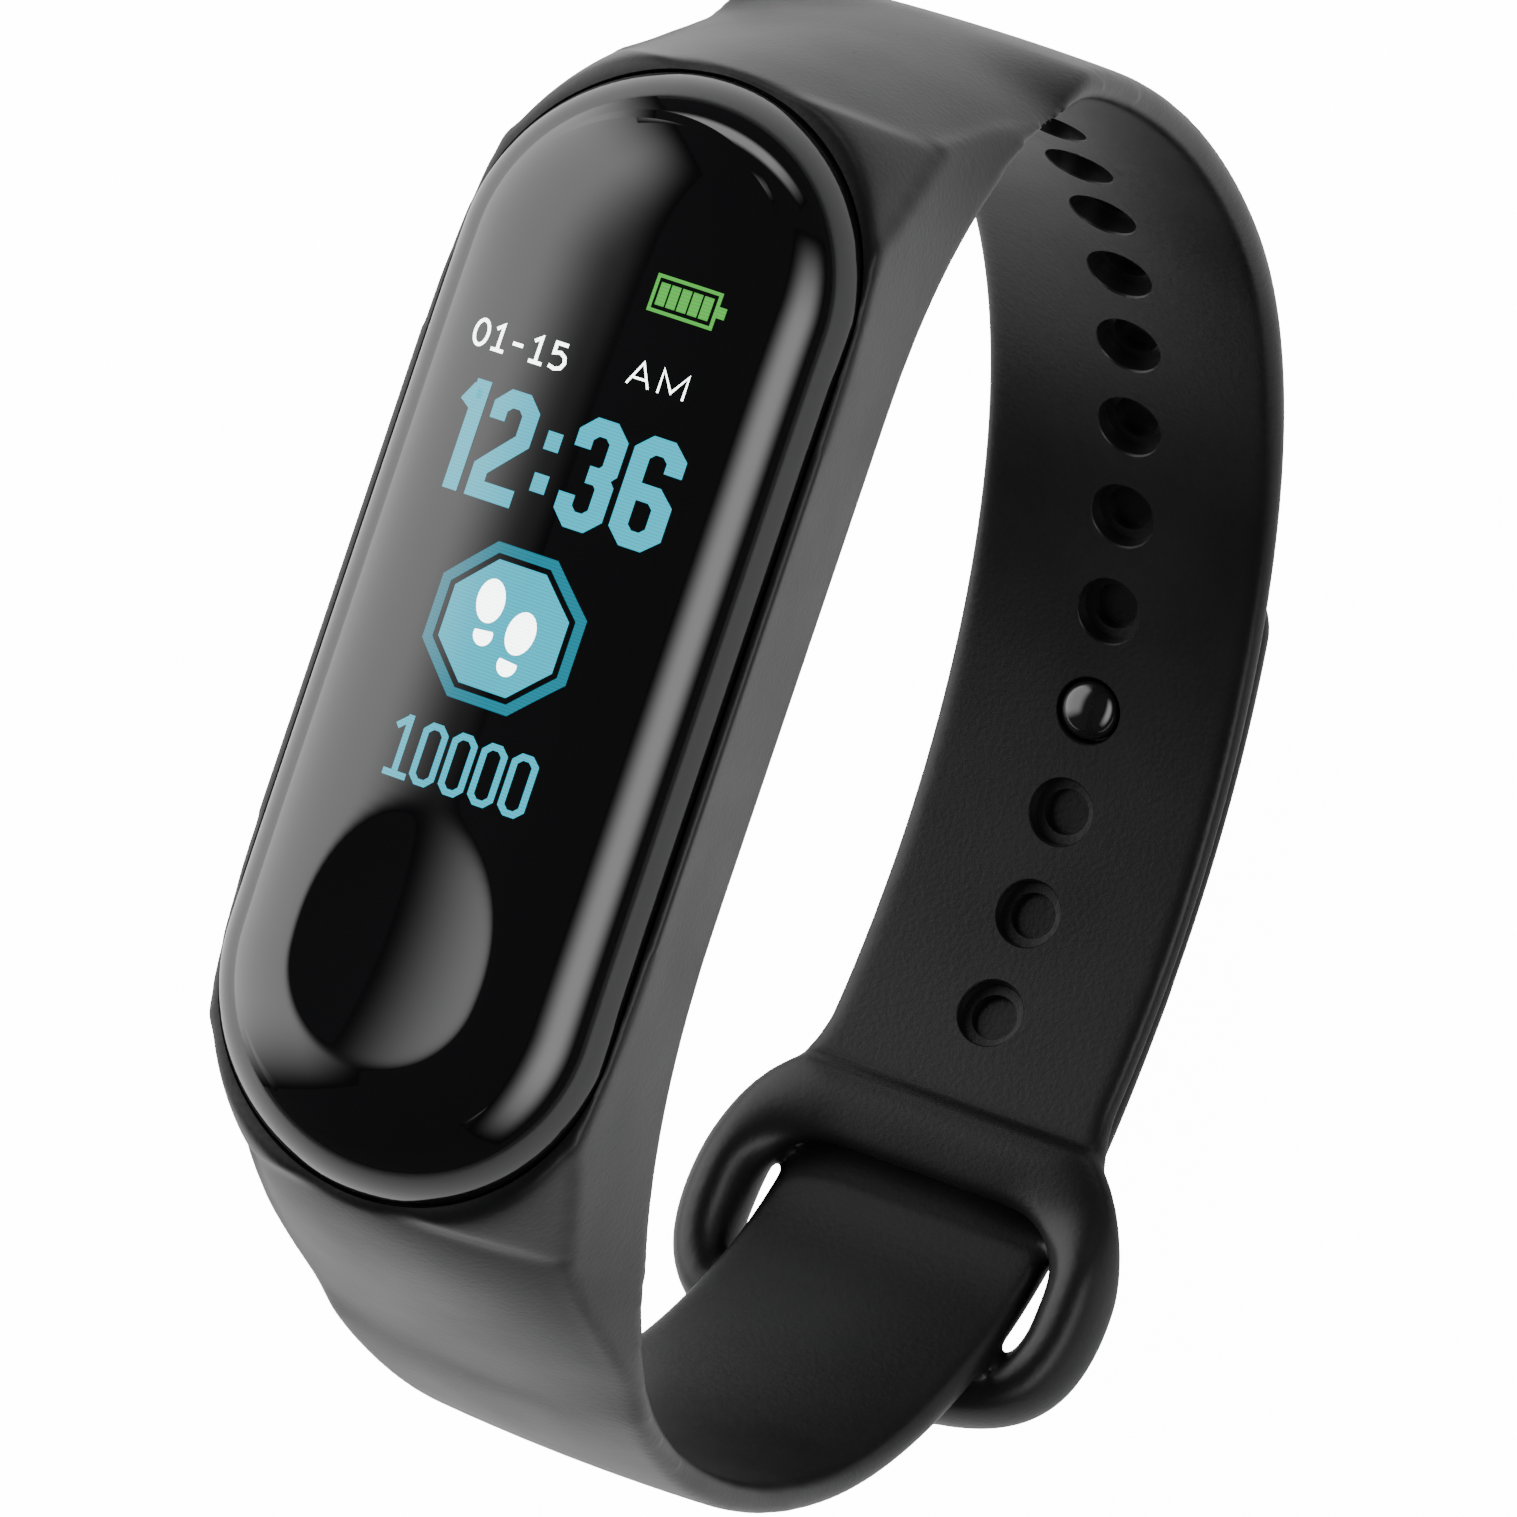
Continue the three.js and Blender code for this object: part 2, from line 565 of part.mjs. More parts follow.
// The tail starts in a round end about the hinge and finishes in a rounded, thinned tip.
function tailPiece() {
  const loops = [];
  for (const a of [20, 50, 90]) {
    const place = holedPath(HINGE_STATION + MID * Math.cos(a * DEG));
    const thickness = STRAP_THICKNESS * Math.sin(a * DEG);
    const near = TAIL_NEAR + MID - thickness / 2;
    loops.push(armSection(place, CLASP_WIDTH / 2, { near, thickness, fall: 0 }));
  }
  const tipFrom = TIP_STATION + TIP_LENGTH;
  for (const t of steps(14).slice(1))
    loops.push(armSection(holedPath(mix(HINGE_STATION, tipFrom, t)), CLASP_WIDTH / 2, { near: TAIL_NEAR }));
  for (const a of [65, 45, 25, 10]) {
    const place = holedPath(TIP_STATION + TIP_LENGTH * (1 - Math.cos(a * DEG)));
    const shrink = Math.sin(a * DEG);
    const half = (CLASP_WIDTH / 2) * mix(0.45, 1, shrink);
    loops.push(armSection(place, half, { near: TAIL_NEAR, thickness: STRAP_THICKNESS * mix(0.5, 1, shrink) }));
  }
  const bore = setOnPath(
    rod(SHANK_RADIUS + SHANK_CLEARANCE, TAIL_NEAR - 1, TAIL_NEAR + STRAP_THICKNESS + 1, 16),
    holeStation(STUD_HOLE),
  );
  return cut(loft(loops), bore);
}
addPiece("strap_tail", tailPiece(), silicone());

// Mushroom stud: its dome sits in the counterbore, its shank runs through arm and tail.
const BUTTON_FOOT = TAIL_NEAR + STRAP_THICKNESS + 0.1;
function studPiece() {
  const neck = COUNTERBORE_DEPTH - 0.1;
  const profile = [new THREE.Vector2(0, -HEAD_PROUD)];
  for (const t of steps(5).slice(1)) {
    const a = 90 * t * DEG;
    profile.push(new THREE.Vector2(HEAD_RADIUS * Math.sin(a), 0.35 - (0.35 + HEAD_PROUD) * Math.cos(a)));
  }
  profile.push(new THREE.Vector2(HEAD_RADIUS, neck - 0.15));
  profile.push(new THREE.Vector2(HEAD_RADIUS - 0.15, neck));
  profile.push(new THREE.Vector2(SHANK_RADIUS, neck));
  profile.push(new THREE.Vector2(SHANK_RADIUS, BUTTON_FOOT + BUTTON_HEIGHT / 2));
  profile.push(new THREE.Vector2(0, BUTTON_FOOT + BUTTON_HEIGHT / 2));
  return setOnPath(new THREE.LatheGeometry(profile, ROUND).rotateX(90 * DEG), holeStation(STUD_HOLE));
}
addPiece("clasp_stud", studPiece(), glossBlack());

// Round button on the tail's outer face, pressed on the stud's shank.
function buttonPiece() {
  const socket = SHANK_RADIUS + 0.05;
  const floor = BUTTON_FOOT + BUTTON_HEIGHT / 2 + 0.1;
  const profile = [
    [0, floor],
    [socket, floor],
    [socket, BUTTON_FOOT],
    [BUTTON_RADIUS, BUTTON_FOOT],
    [BUTTON_RADIUS, BUTTON_FOOT + BUTTON_HEIGHT * 0.5],
    [BUTTON_RADIUS * 0.75, BUTTON_FOOT + BUTTON_HEIGHT * 0.85],
    [0, BUTTON_FOOT + BUTTON_HEIGHT],
  ].map(([x, y]) => new THREE.Vector2(x, y));
  return setOnPath(new THREE.LatheGeometry(profile, ROUND).rotateX(90 * DEG), holeStation(STUD_HOLE));
}
addPiece("clasp_button", buttonPiece(), glossBlack());

// ---- Capsule housing -------------------------------------------------------------------------

const POCKET_TOP = CROWN - LENS_COVER;
const POCKET_RADIUS = LENS_RADIUS - LENS_POCKET_INSET;
const SKIRT_INNER = LENS_RADIUS - LENS_SHELF_WALL;

function lensPiece() {
  const curveAt = (reach) => (1 - (reach / LENS_RIM) ** LENS_SQUARENESS) ** (1 / LENS_SQUARENESS);
  const dome = [1, 0.97, 0.92, 0.84, 0.72, 0.55, 0.33, 0.08].map((reach) => {
    const rise = (LENS_RISE * (curveAt(reach) - curveAt(1))) / (1 - curveAt(1));
    return stadium(LENS_RADIUS * reach, (y) => seamAt(y) + rise, 44);
  });
  const outside = loft([stadium(LENS_RADIUS, SKIRT_FOOT, 44), ...dome]);
  const hollow = stadiumPlate(SKIRT_INNER, SKIRT_FOOT - 1, POCKET_TOP - POCKET_DEPTH);
  const pocket = stadiumPlate(POCKET_RADIUS, SKIRT_FOOT - 1, POCKET_TOP);
  const dish = rod(DISH.radius, CROWN - DISH.depth, CROWN + 1, 36).translate(0, DISH_Y, 0);
  return cut(outside, hollow, pocket, dish);
}
addPiece("front_lens", lensPiece(), glossBlack());

// A ring between two levels, as wide as its wall, about the capsule's spine.
const ring = (radius, wall, low, high) =>
  cut(stadiumPlate(radius, low, high), stadiumPlate(radius - wall, low - 1, high + 1));

const ADHESIVE = 0.3;
const ADHESIVE_GAP = 0.15;
const SHELL_TOP = SKIRT_FOOT - ADHESIVE - 2 * ADHESIVE_GAP;
const SHELL_FOOT = SKIN_HEIGHT + 3.5;
const COVER_TOP = SKIN_HEIGHT + 2.9;
addPiece(
  "lens_adhesive",
  ring(SHELL_RADIUS - 0.05, 0.5, SKIRT_FOOT - ADHESIVE - ADHESIVE_GAP, SKIRT_FOOT - ADHESIVE_GAP),
  finish(0x222222, 0.8),
);
addPiece("upper_shell", ring(SHELL_RADIUS, SHELL_WALL, SHELL_FOOT, SHELL_TOP), blackPlastic());
addPiece("housing_seal", ring(SHELL_RADIUS - 0.2, 0.4, COVER_TOP + 0.1, SHELL_FOOT - 0.1), finish(0x5a1f1c, 0.7));

const sensorHole = rod(WINDOW_RADIUS + 0.15, REAR_FACE - 1, REAR_FACE + REAR_FLOOR + 1);
const CONTACT_Y = HALF_LENGTH - CONTACT.fromEnd;
const contactSides = [["left", -1], ["right", 1]];
function rearCover() {
  const outside = loft([
    stadium(SHELL_RADIUS - REAR_EDGE - 0.4, REAR_FACE),
    stadium(SHELL_RADIUS - REAR_EDGE * 0.5, REAR_FACE + REAR_EDGE * 0.4),
    stadium(SHELL_RADIUS - 0.2, REAR_FACE + REAR_EDGE + 0.4),
    stadium(SHELL_RADIUS, COVER_TOP),
  ]);
  const inside = stadiumPlate(SHELL_RADIUS - SHELL_WALL - 0.2, REAR_FACE + REAR_FLOOR, COVER_TOP + 1);
  const contactHoles = contactSides.map(([, side]) =>
    rod(CONTACT.radius + 0.12, REAR_FACE - 1, REAR_FACE + REAR_FLOOR + 1, 16)
      .translate(side * CONTACT.spread, CONTACT_Y, 0),
  );
  return cut(outside, inside, sensorHole, ...contactHoles);
}
addPiece("rear_cover", rearCover(), blackPlastic());
addPiece("sensor_window", rod(WINDOW_RADIUS, REAR_FACE + 0.05, REAR_FACE + 0.55), finish(0x0c1410, 0.05));
for (const [name, side] of contactSides)
  addPiece(
    `charge_contact_${name}`,
    rod(CONTACT.radius, REAR_FACE + 0.02, REAR_FACE + REAR_FLOOR + 0.4, 16)
      .translate(side * CONTACT.spread, CONTACT_Y, 0),
    gold(),
  );

// ---- Inside the capsule ----------------------------------------------------------------------

const block = (width, length, low, high, x = 0, y = 0) =>
  new THREE.BoxGeometry(width, length, high - low).translate(x, y, (low + high) / 2);

// Heart-rate sensor over the window: two LEDs either side of a photodiode, with a light barrier.
const PULSE_BOARD_FOOT = REAR_FACE + REAR_FLOOR + FIT;
const PULSE_BOARD_TOP = PULSE_BOARD_FOOT + 0.4;
const SENSOR_FOOT = REAR_FACE + 0.7;
const SENSOR_TOP = PULSE_BOARD_FOOT - SOLDER;
addPiece("pulse_board", block(9, 8, PULSE_BOARD_FOOT, PULSE_BOARD_TOP), boardGreen());
addPiece("pulse_photodiode", block(1.4, 1.4, SENSOR_FOOT, SENSOR_TOP), chipBlack());
for (const [name, side] of contactSides)
  addPiece(`pulse_led_${name}`, block(0.8, 0.8, SENSOR_FOOT, SENSOR_TOP, side * 2.1), finish(0xd8f5d0, 0.3));
const barrierOutside = rod(1.5, SENSOR_FOOT, SENSOR_TOP);
addPiece("light_barrier", cut(barrierOutside, rod(1.2, SENSOR_FOOT - 1, SENSOR_TOP + 1)), chipBlack());

// Battery and vibration motor side by side over the sensor board.
const POWER_FOOT = PULSE_BOARD_TOP + FIT;
const BATTERY_Y = HALF_LENGTH - 8.7 - BATTERY.length / 2;
addPiece(
  "battery",
  block(BATTERY.width, BATTERY.length, POWER_FOOT, POWER_FOOT + BATTERY.height, 0, BATTERY_Y),
  finish(0xb9bdc2, 0.4, 0.6),
);
const MOTOR_Y = MOTOR.fromEnd - HALF_LENGTH;
const MOTOR_TOP = POWER_FOOT + MOTOR.height;
const atMotor = (geometry) => geometry.translate(0, MOTOR_Y, 0);
addPiece("motor_base", atMotor(rod(MOTOR.radius, POWER_FOOT, POWER_FOOT + 0.3)), steel());
const motorCanOutside = rod(MOTOR.radius, POWER_FOOT + 0.4, MOTOR_TOP);
const motorCanInside = rod(MOTOR.radius - MOTOR.wall, POWER_FOOT, MOTOR_TOP - MOTOR.wall);
addPiece("motor_can", atMotor(cut(motorCanOutside, motorCanInside)), steel());
addPiece(
  "motor_shaft",
  atMotor(rod(MOTOR.shaft, POWER_FOOT + 0.4, MOTOR_TOP - MOTOR.wall - 0.1, 16)),
  steel(),
);
function motorWeight() {
  const shape = new THREE.Shape();
  const radius = MOTOR.radius - MOTOR.wall - 0.25;
  shape.absarc(0, 0, radius, 0, Math.PI, false);
  shape.absarc(0, 0, MOTOR.shaft + 0.5, Math.PI, 2 * Math.PI, false);
  const height = MOTOR.height - 1.3;
  const plate = new THREE.ExtrudeGeometry(shape, { depth: height, bevelEnabled: false, curveSegments: 12 });
  plate.translate(0, 0, POWER_FOOT + 0.65);
  return cut(plate, rod(MOTOR.shaft + 0.08, POWER_FOOT, MOTOR_TOP, 16)).translate(0, MOTOR_Y, 0);
}
addPiece("motor_weight", motorWeight(), finish(0x8b8f94, 0.4, 1));

// Main board and what is soldered on it.
const BOARD_FOOT = POWER_FOOT + BATTERY.height + FIT;
const BOARD_TOP = BOARD_FOOT + BOARD;
const BOARD_RADIUS = SHELL_RADIUS - SHELL_WALL - FIT;
addPiece("main_board", stadiumPlate(BOARD_RADIUS, BOARD_FOOT, BOARD_TOP), boardGreen());
const CHIP_TOP = BOARD_TOP + SOLDER + 0.75;
const soldered = [
  ["bluetooth_chip", 5, 5, 0, 6],
  ["memory_chip", 3, 2.4, 0, 0.5],
  ["motion_sensor", 2, 2, -3, -4],
  ["touch_controller", 2, 2, 3, -8.5],
  ["clock_crystal", 2, 1.2, 3.6, 3],
  ["antenna", 6, 1.6, 0, 16.5],
];
for (const [name, width, length, x, y] of soldered)
  addPiece(name, block(width, length, BOARD_TOP + SOLDER, CHIP_TOP, x, y), chipBlack());
addPiece(
  "battery_connector",
  block(4, 2, BOARD_FOOT - SOLDER - 1, BOARD_FOOT - SOLDER, 0, BATTERY_Y - BATTERY.length / 2 - 1.5),
  finish(0xe8e2d0, 0.5),
);

// Inner frame, display stack and touch electrode under the lens.
const FRAME_FOOT = CHIP_TOP + 0.15;
const FRAME_TOP = FRAME_FOOT + 0.4;
const CONTACT_POST = 0.8;
const displayFlexY = DISPLAY.offset - DISPLAY.length / 2 - 0.6;
const flexSlot = block(6, 1.2, FRAME_FOOT - 1, FRAME_TOP + 1, 0, displayFlexY);
const postHole = rod(CONTACT_POST + 0.3, FRAME_FOOT - 1, FRAME_TOP + 1, 16).translate(0, DISH_Y, 0);
addPiece(
  "inner_frame",
  cut(stadiumPlate(SKIRT_INNER - FIT, FRAME_FOOT, FRAME_TOP), flexSlot, postHole),
  blackPlastic(),
);
const PANEL_TOP = POCKET_TOP - 0.15;
const PANEL_FOOT = PANEL_TOP - DISPLAY.thick;
const BACKLIGHT_TOP = PANEL_FOOT - 0.15;
const BACKLIGHT_FOOT = BACKLIGHT_TOP - 0.6;
const displayPiece = (name, shrink, low, high, material) =>
  addPiece(name, block(DISPLAY.width - shrink, DISPLAY.length - shrink, low, high, 0, DISPLAY.offset), material);
displayPiece("display_panel", 0, PANEL_FOOT, PANEL_TOP, finish(0x050608, 0.15));
displayPiece("display_backlight", 0.3, BACKLIGHT_FOOT, BACKLIGHT_TOP, finish(0xe9eef2, 0.5));
displayPiece("display_foam", 1, FRAME_TOP + 0.1, BACKLIGHT_FOOT - 0.1, finish(0x2a2a2c, 0.9));
addPiece(
  "display_flex",
  block(5, 0.2, BOARD_TOP + SOLDER, PANEL_FOOT + 0.5, 0, displayFlexY),
  finish(0xb5762a, 0.4),
);
addPiece(
  "touch_electrode",
  rod(3.4, PANEL_TOP - 0.3, PANEL_TOP).translate(0, DISH_Y, 0),
  finish(0xc77b4a, 0.35, 0.8),
);
addPiece(
  "touch_post",
  rod(CONTACT_POST, BOARD_TOP + SOLDER, PANEL_TOP - 0.45, 16).translate(0, DISH_Y, 0),
  gold(),
);

export default root;
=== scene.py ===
import json
import math

import bmesh
import bpy
import numpy as np
from mathutils import Euler, Matrix, Vector


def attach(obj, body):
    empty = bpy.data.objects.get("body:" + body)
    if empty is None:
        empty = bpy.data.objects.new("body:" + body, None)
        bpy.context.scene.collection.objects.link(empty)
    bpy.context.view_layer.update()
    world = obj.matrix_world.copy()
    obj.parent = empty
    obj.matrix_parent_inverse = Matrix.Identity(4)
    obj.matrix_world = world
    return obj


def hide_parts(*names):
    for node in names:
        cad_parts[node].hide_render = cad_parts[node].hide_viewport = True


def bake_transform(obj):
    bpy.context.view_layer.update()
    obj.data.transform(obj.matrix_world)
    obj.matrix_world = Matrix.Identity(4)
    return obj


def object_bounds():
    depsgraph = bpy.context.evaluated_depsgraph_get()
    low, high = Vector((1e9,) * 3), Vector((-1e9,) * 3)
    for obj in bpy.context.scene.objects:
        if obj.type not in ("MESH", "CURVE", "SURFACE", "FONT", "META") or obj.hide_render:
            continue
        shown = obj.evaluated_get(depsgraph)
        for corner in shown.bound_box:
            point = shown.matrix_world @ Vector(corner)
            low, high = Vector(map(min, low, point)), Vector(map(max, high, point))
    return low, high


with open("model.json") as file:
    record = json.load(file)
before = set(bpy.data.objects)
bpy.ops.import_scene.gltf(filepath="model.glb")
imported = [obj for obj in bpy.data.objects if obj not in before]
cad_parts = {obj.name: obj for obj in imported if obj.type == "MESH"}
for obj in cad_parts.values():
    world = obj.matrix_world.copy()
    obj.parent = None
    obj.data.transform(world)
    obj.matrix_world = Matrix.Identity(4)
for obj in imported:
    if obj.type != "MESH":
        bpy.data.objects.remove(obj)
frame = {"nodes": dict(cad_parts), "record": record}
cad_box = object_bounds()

# ---- Camera, floor and studio light ---------------------------------------------------------
# A long lens looks down on the band from the front right. The floor is a pale sheet that glows
# faintly and shows bright to the camera. Three glowing sheets light the band: a broad one on the
# left, a strip on the right and a narrow one past the upper end. They are real surfaces, so each
# hides the band from a camera on its far side.

MM = 0.001
scene = bpy.context.scene

camera = bpy.data.objects.new("camera", bpy.data.cameras.new("camera"))
camera.data.sensor_width = 36
camera.data.lens = 177.52
camera.data.clip_start = 0.01
camera.location = Vector((114.2034, 2.5897, 308.5675)) * MM
camera.rotation_euler = Euler([math.radians(a) for a in (6.1829, 20.0888, 19.8928)])
scene.collection.objects.link(camera)
scene.camera = camera

FLOOR_GAP = 2 * MM
floor_level = cad_box[0][2] - FLOOR_GAP
floor_mesh = bpy.data.meshes.new("floor")
FLOOR_HALF = 1.5
floor_mesh.from_pydata(
    [(x * FLOOR_HALF, y * FLOOR_HALF, floor_level) for x, y in ((-1, -1), (1, -1), (1, 1), (-1, 1))],
    [],
    [(0, 1, 2, 3)],
)
floor = bpy.data.objects.new("floor", floor_mesh)
scene.collection.objects.link(floor)
floor_material = bpy.data.materials.new("floor_sheet")
floor_material.use_nodes = True
floor_nodes, floor_links = floor_material.node_tree.nodes, floor_material.node_tree.links
floor_shader = floor_nodes["Principled BSDF"]
floor_shader.inputs["Base Color"].default_value = (0.9, 0.9, 0.9, 1)
floor_shader.inputs["Roughness"].default_value = 0.9
floor_shader.inputs["Specular IOR Level"].default_value = 0.1
floor_shader.inputs["Emission Color"].default_value = (1, 1, 1, 1)
seen = floor_nodes.new("ShaderNodeLightPath")
glow_range = floor_nodes.new("ShaderNodeMapRange")
FLOOR_GLOW = 0.12
FLOOR_SEEN = 14.0
glow_range.inputs["To Min"].default_value = FLOOR_GLOW
glow_range.inputs["To Max"].default_value = FLOOR_SEEN
floor_links.new(seen.outputs["Is Camera Ray"], glow_range.inputs["Value"])
floor_links.new(glow_range.outputs["Result"], floor_shader.inputs["Emission Strength"])
floor_mesh.materials.append(floor_material)

world = bpy.data.worlds.new("studio")
world.use_nodes = True
world.node_tree.nodes["Background"].inputs["Color"].default_value = (0.06, 0.06, 0.062, 1)
scene.world = world


def soft_box(name, place, width, height, strength, aim=(0, 0, 0.03), soft=0.35):
    """A glowing sheet that faces a spot on the band and fades out towards its edges."""
    sheet = bpy.data.meshes.new(name)
    corners = ((-1, -1), (1, -1), (1, 1), (-1, 1))
    turn = (Vector(aim) - Vector(place)).to_track_quat("-Z", "Y").to_matrix().to_4x4()
    stand = Matrix.Translation(place) @ turn
    points = [stand @ Vector((x * width / 2, y * height / 2, 0)) for x, y in corners]
    sheet.from_pydata(points, [], [(0, 1, 2, 3)])
    across = sheet.uv_layers.new(name="across")
    for loop, (x, y) in zip(across.data, corners):
        loop.uv = (x, y)
    material = bpy.data.materials.new(name)
    material.use_nodes = True
    nodes, links = material.node_tree.nodes, material.node_tree.links
    nodes.remove(nodes["Principled BSDF"])
    spot = nodes.new("ShaderNodeUVMap")
    spot.uv_map = "across"
    parts = nodes.new("ShaderNodeSeparateXYZ")
    links.new(spot.outputs["UV"], parts.inputs["Vector"])
    fades = []
    for axis in ("X", "Y"):
        size = nodes.new("ShaderNodeMath")
        size.operation = "ABSOLUTE"
        links.new(parts.outputs[axis], size.inputs[0])
        fade = nodes.new("ShaderNodeMapRange")
        fade.interpolation_type = "SMOOTHSTEP"
        fade.inputs["From Min"].default_value = 1 - soft * 2
        fade.inputs["From Max"].default_value = 1
        fade.inputs["To Min"].default_value = 1
        fade.inputs["To Max"].default_value = 0
        links.new(size.outputs[0], fade.inputs["Value"])
        fades.append(fade)
    both = nodes.new("ShaderNodeMath")
    both.operation = "MULTIPLY"
    for i, fade in enumerate(fades):
        links.new(fade.outputs["Result"], both.inputs[i])
    power = nodes.new("ShaderNodeMath")
    power.operation = "MULTIPLY"
    power.inputs[1].default_value = strength
    links.new(both.outputs[0], power.inputs[0])
    lamp = nodes.new("ShaderNodeEmission")
    links.new(power.outputs[0], lamp.inputs["Strength"])
    links.new(lamp.outputs["Emission"], nodes["Material Output"].inputs["Surface"])
    sheet.materials.append(material)
    box = bpy.data.objects.new(name, sheet)
    scene.collection.objects.link(box)


soft_box("left_box", place=(-0.45, 0.06, 0.20), width=1.25, height=1.15, strength=4.2, soft=0.3)
soft_box("right_strip", place=(0.45, -0.06, 0.27), width=1.3, height=0.40, strength=6.0, soft=0.45)
soft_box("top_box", place=(-0.05, 0.55, 0.20), width=0.8, height=0.12, strength=5.0)


# ---- Strap ----------------------------------------------------------------------------------
# One silicone moulding: a cradle round the capsule, a holed arm that ends in a thick loop, and a
# clasp arm that runs through the loop. It is moulded in one shot, so every edge is soft.

SKIN_HEIGHT = 30.5
BEND_EASE = 6
THICKNESS = 1.6
LAYER_GAP = 0.3
HALF_LENGTH = 23.1
LENS_RADIUS = 8.5
SPINE = HALF_LENGTH - LENS_RADIUS
SEAM = SKIN_HEIGHT + 7.55
LIP_END = HALF_LENGTH + 0.42
LIP_HALF = 9.0
END_HALF = 7.5
EDGE_FALL = 6.2
CRADLE_HALF = 8.35
HOLED_HALF = 7.55
CLASP_HALF = 7.15
HOLED_RUN = 9.1
CLASP_RUN = 9.8
ARM_FALL = 0.25
HOLED_SLOPE, HOLED_LEAVE, HOLED_ARRIVE = 70, 0.40, 0.10
CLASP_SLOPE, CLASP_LEAVE, CLASP_ARRIVE = 55, 0.21, 0.16
NARROWING_FROM = 3
NARROWING_LENGTH = 22
FALL_FROM = 11
LIP_EDGE = 0.25
EDGE = 0.6
LOOP_STATION = 114.1
FIRST_HOLE = 51.1
HOLE_PITCH = 5.1
HOLE_COUNT = 12
STUD_STATION = FIRST_HOLE + 8 * HOLE_PITCH
HINGE_STATION = 104.1
CLASP_LEAVES = 77.4
LOOP_ROOT_HALF = 8.7
FLARE_FROM = 4.5
FLARE_LENGTH = 5.1
INTO_LOOP = 0.6
THREADED_FALL = 0.12
SLOT_SEAM = 0.50
MID = THICKNESS / 2
TAIL_NEAR = THICKNESS + LAYER_GAP


def smooth(t):
    t = min(1.0, max(0.0, t))
    return t * t * (3 - 2 * t)


def mix(a, b, t):
    return a + (b - a) * t


def seam_at(y):
    return SEAM - 0.004 * max(0.0, abs(y) - 10) ** 2


def band_path(side, lead, arcs):
    """Skin side of the strap in the YZ plane: a function of the length along it."""
    changes, at, bend = [], lead, 0.0
    for radius, sweep in arcs:
        changes.append((at, 1 / radius - bend))
        bend = 1 / radius
        at += radius * math.radians(sweep)
    step = 0.1
    s = np.arange(0, at, step)
    curve = np.zeros_like(s)
    for place, change in changes:
        t = np.clip((s - place) / BEND_EASE + 0.5, 0, 1)
        curve += change * t * t * (3 - 2 * t)
    turn = np.concatenate([[0], np.cumsum((curve[1:] + curve[:-1]) / 2 * step)])
    half = (turn[1:] + turn[:-1]) / 2
    y = side * np.concatenate([[0], np.cumsum(np.cos(half) * step)])
    z = SKIN_HEIGHT - np.concatenate([[0], np.cumsum(np.sin(half) * step)])

    def place_at(station):
        angle = np.interp(station, s, turn)
        spot = np.array([np.interp(station, s, y), np.interp(station, s, z)])
        along = np.array([side * math.cos(angle), -math.sin(angle)])
        out = np.array([side * math.sin(angle), math.cos(angle)])
        return spot, along, out

    place_at.ys = np.abs(y)
    place_at.stations = s
    return place_at


holed_path = band_path(1, 13.3, ((15, 83), (60, 24.5), (31.7, 150)))
clasp_path = band_path(-1, 9.0, ((21.5, 69), (50, 30), (32.5, 90)))
OUTWARD_STEPS = 400


def station_at(path, y):
    """How far along a path the strap is at y, within the stretch where it still runs outwards."""
    return np.interp(y, path.ys[:OUTWARD_STEPS], path.stations[:OUTWARD_STEPS])


HOLED_END = float(station_at(holed_path, HALF_LENGTH))
CLASP_END = float(station_at(clasp_path, HALF_LENGTH))


def section(inner, outer, half_in, half_out, edge=EDGE, fall=ARM_FALL, flat=0.0, rounds=5, across=44):
    """One ring of the strap; its outer face is level out to "flat" and falls away to its edges."""
    inner, outer = np.array(inner), np.array(outer)
    height = float(np.linalg.norm(outer - inner))
    up = (outer - inner) / height
    r = min(edge, 0.45 * (height - fall))
    outline = []

    def top_at(x):
        return height - fall * (max(0.0, abs(x) - flat) / (half_out - flat)) ** 2

    def corner(cx, cy, start):
        for i in range(rounds + 1):
            a = math.radians(start + 90 * i / rounds)
            outline.append((cx + r * math.cos(a), cy + r * math.sin(a)))

    side_in, side_out = half_in - r, half_out - r
    corner(side_in, r, -90)
    corner(side_out, top_at(side_out) - r, 0)
    for i in range(1, across):
        x = side_out * math.cos(math.pi * i / across)
        outline.append((x, top_at(x)))
    corner(-side_out, top_at(side_out) - r, 90)
    corner(-side_in, r, 180)
    for i in range(1, across):
        outline.append((side_in * (2 * i / across - 1), 0))
    return [(x, inner[0] + up[0] * h, inner[1] + up[1] * h) for x, h in outline]


def tube(name, rings, caps=True):
    """A mesh object through equal rings of points in millimetres, with its ends closed."""
    count = len(rings[0])
    mesh = bpy.data.meshes.new(name)
    points = [tuple(c * MM for c in p) for ring in rings for p in ring]
    faces = []
    for i in range(len(rings) - 1):
        for j in range(count):
            k = (j + 1) % count
            faces.append((i * count + j, i * count + k, (i + 1) * count + k, (i + 1) * count + j))
    if caps:
        faces.append(tuple(range(count - 1, -1, -1)))
        last = (len(rings) - 1) * count
        faces.append(tuple(range(last, last + count)))
    mesh.from_pydata(points, [], faces)
    bm = bmesh.new()
    bm.from_mesh(mesh)
    bmesh.ops.recalc_face_normals(bm, faces=bm.faces)
    bm.to_mesh(mesh)
    bm.free()
    mesh.polygons.foreach_set("use_smooth", [True] * len(mesh.polygons))
    piece = bpy.data.objects.new(name, mesh)
    scene.collection.objects.link(piece)
    return piece


def stadium(radius, z, sides=96, spine=SPINE):
    """A ring round the capsule's spine; z is a number or a function of y."""
    height = z if callable(z) else (lambda y: z)
    ring = []
    for i in range(sides):
        a = (i + 0.5) / sides * 2 * math.pi
        y = radius * math.sin(a) + math.copysign(spine, math.sin(a))
        ring.append((radius * math.cos(a), y, height(y)))
    return ring


